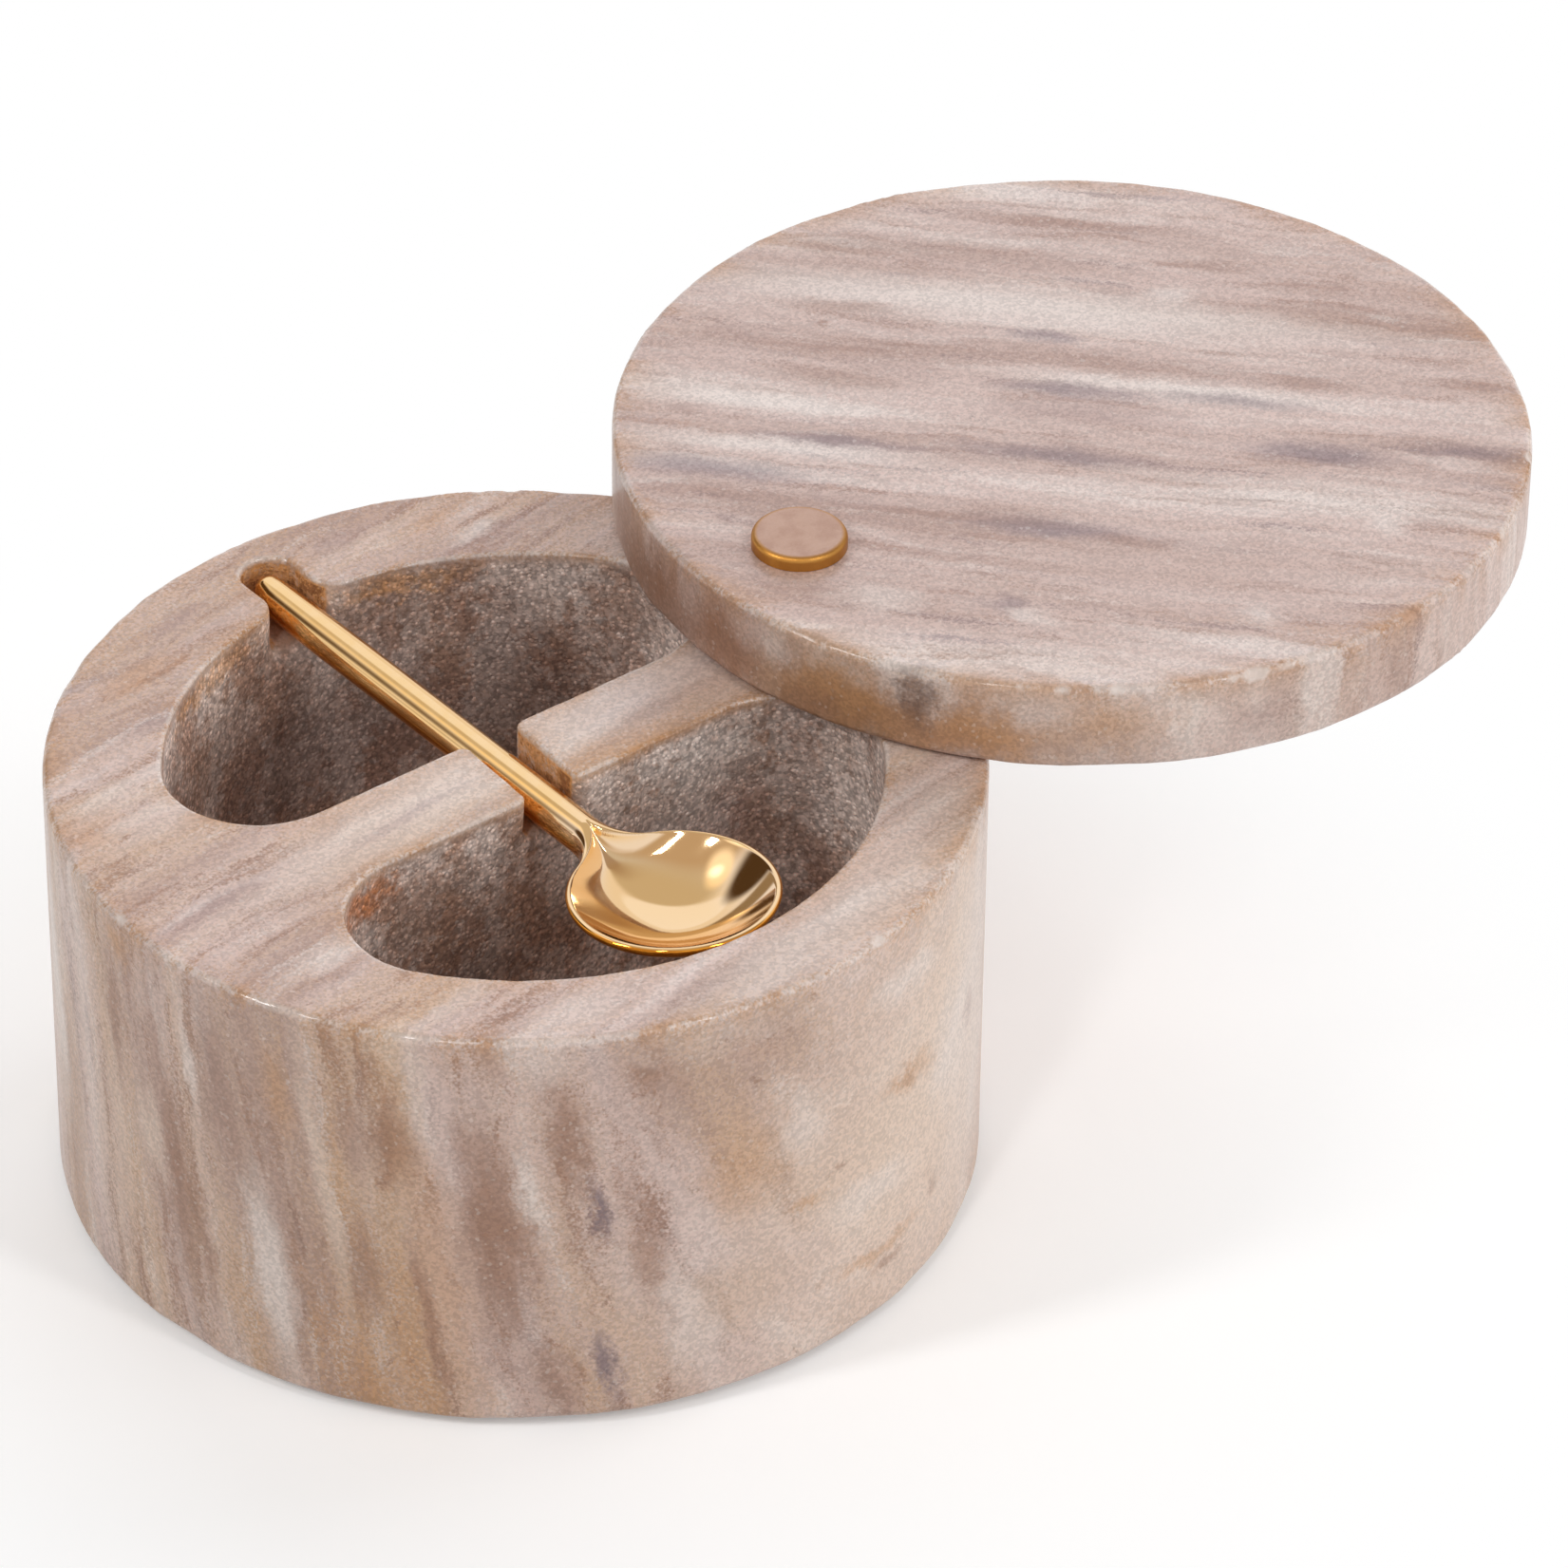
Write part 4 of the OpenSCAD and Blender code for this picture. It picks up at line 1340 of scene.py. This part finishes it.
# Lamps: name, azimuth and height in degrees, width and height in metres, watts
SOFTBOXES = (
    ("back_softbox", 56, 27, (1.3, 0.7), 8.0),
    ("right_softbox", 0, 31, (1.0, 0.7), 6.6),
    ("right_card", -62, 14, (1.2, 0.5), 6.8),
)
WINDOWS = (
    ("left_window", 167, 40, (0.12, 0.5), 3.6),
    ("back_window", -148, 50, (0.09, 0.5), 1.8),
    ("right_window", -80, 46, (0.1, 0.5), 2.0),
)
# How far away they stand from what they are aimed at, in metres
SOFTBOX_AWAY = 1.5
WINDOW_AWAY = 1.2
LAMP_AIM = Vector((0.02, 0, 0.04))


def make_stage():
    """A pale floor that fades into white"""
    bpy.ops.mesh.primitive_plane_add(size=FLOOR_SIZE, location=(0, 0, 0))
    floor = bpy.context.object
    floor.name = "floor"
    material, tree, shader = new_material("pale_floor")
    tree.nodes.remove(shader)
    output = tree.nodes["Material Output"]
    paper = place(tree, "ShaderNodeBsdfDiffuse", Color=FLOOR_COLOUR)
    shown = place(tree, "ShaderNodeBsdfDiffuse", Color=FLOOR_SEEN)
    glow = place(tree, "ShaderNodeEmission", Color=WHITE, Strength=FLOOR_GLOW)
    both = place(tree, "ShaderNodeAddShader")
    feed(tree, both.inputs[0], shown.outputs[0])
    feed(tree, both.inputs[1], glow.outputs[0])
    away = calculate_vector(tree, "LENGTH", place(tree, "ShaderNodeTexCoord").outputs["Object"])
    white = place(tree, "ShaderNodeEmission", Color=WHITE, Strength=1.0)
    faded = place(tree, "ShaderNodeMixShader", Fac=ramp(tree, away, FADE_START, FADE_END))
    feed(tree, faded.inputs[1], both.outputs[0])
    feed(tree, faded.inputs[2], white.outputs[0])
    seen = place(tree, "ShaderNodeMixShader", Fac=seen_directly(tree))
    feed(tree, seen.inputs[1], paper.outputs[0])
    feed(tree, seen.inputs[2], faded.outputs[0])
    feed(tree, output.inputs["Surface"], seen.outputs[0])
    wear_material(floor, material)


def seen_directly(tree):
    """1 for what the camera sees, itself or in metal or glass, and 0 for what only lights"""
    path = place(tree, "ShaderNodeLightPath")
    seen = calculate(tree, "ADD", path.outputs["Is Camera Ray"], path.outputs["Is Glossy Ray"], clamp=True)
    return calculate(tree, "ADD", seen, path.outputs["Is Transmission Ray"], clamp=True)


def towards(azimuth, height):
    """A direction by its angle from +X and its height above the floor, in degrees"""
    turn, lift = math.radians(azimuth), math.radians(height)
    return Vector((math.cos(lift) * math.cos(turn), math.cos(lift) * math.sin(turn), math.sin(lift)))


def add_lamp(name, azimuth, height, size, energy, away):
    """A soft lamp in a direction and at a distance, which looks at the object"""
    data = bpy.data.lights.new(name, "AREA")
    data.shape = "RECTANGLE"
    data.size, data.size_y = size
    data.energy = energy
    lamp = bpy.data.objects.new(name, data)
    scene.collection.objects.link(lamp)
    aim = towards(azimuth, height)
    lamp.location = LAMP_AIM + away * aim
    lamp.rotation_euler = aim.to_track_quat("Z", "Y").to_euler()
    return lamp


def lay_patch(tree, colour, compass, azimuth, height, reach, core, shade):
    """Lays a soft patch of the studio over the sky's colour"""
    turn = (0, 0, math.radians(90 - azimuth))
    turned = place(tree, "ShaderNodeMapping", Vector=compass, Rotation=turn).outputs[0]
    patch = use_group(tree, soft_spot, Vector=turned, Centre=towards(90, height), Reach=reach, Core=core)
    return mix_colours(tree, patch.outputs["Mask"], colour, shade)


def make_world():
    """White all round, but polished metal sees the studio's sky and patches"""
    world = bpy.data.worlds.new("studio")
    scene.world = world
    world.use_nodes = True
    tree = world.node_tree
    shader = tree.nodes["Background"]
    compass = place(tree, "ShaderNodeTexCoord").outputs["Generated"]
    up = place(tree, "ShaderNodeSeparateXYZ", Vector=compass).outputs["Z"]
    studio = mix_colours(tree, ramp(tree, up, *SKY_TURN), SKY_LOW, SKY_HIGH)
    for patch in STUDIO_PATCHES:
        studio = lay_patch(tree, studio, compass, *patch)
    mirrored = place(tree, "ShaderNodeLightPath").outputs["Is Glossy Ray"]
    feed(tree, shader.inputs["Color"], mix_colours(tree, mirrored, WHITE, studio))
    feed(tree, shader.inputs["Strength"], ramp(tree, seen_directly(tree), 0, 1, WORLD_LIGHT, 1.0))


scene.view_settings.view_transform = "Standard"
make_stage()
make_world()
# The world shows polished metal its own softbox, so the softboxes stay out of it
for lamp in SOFTBOXES:
    add_lamp(*lamp, SOFTBOX_AWAY).visible_glossy = False
for lamp in WINDOWS:
    add_lamp(*lamp, WINDOW_AWAY)
aim_camera()
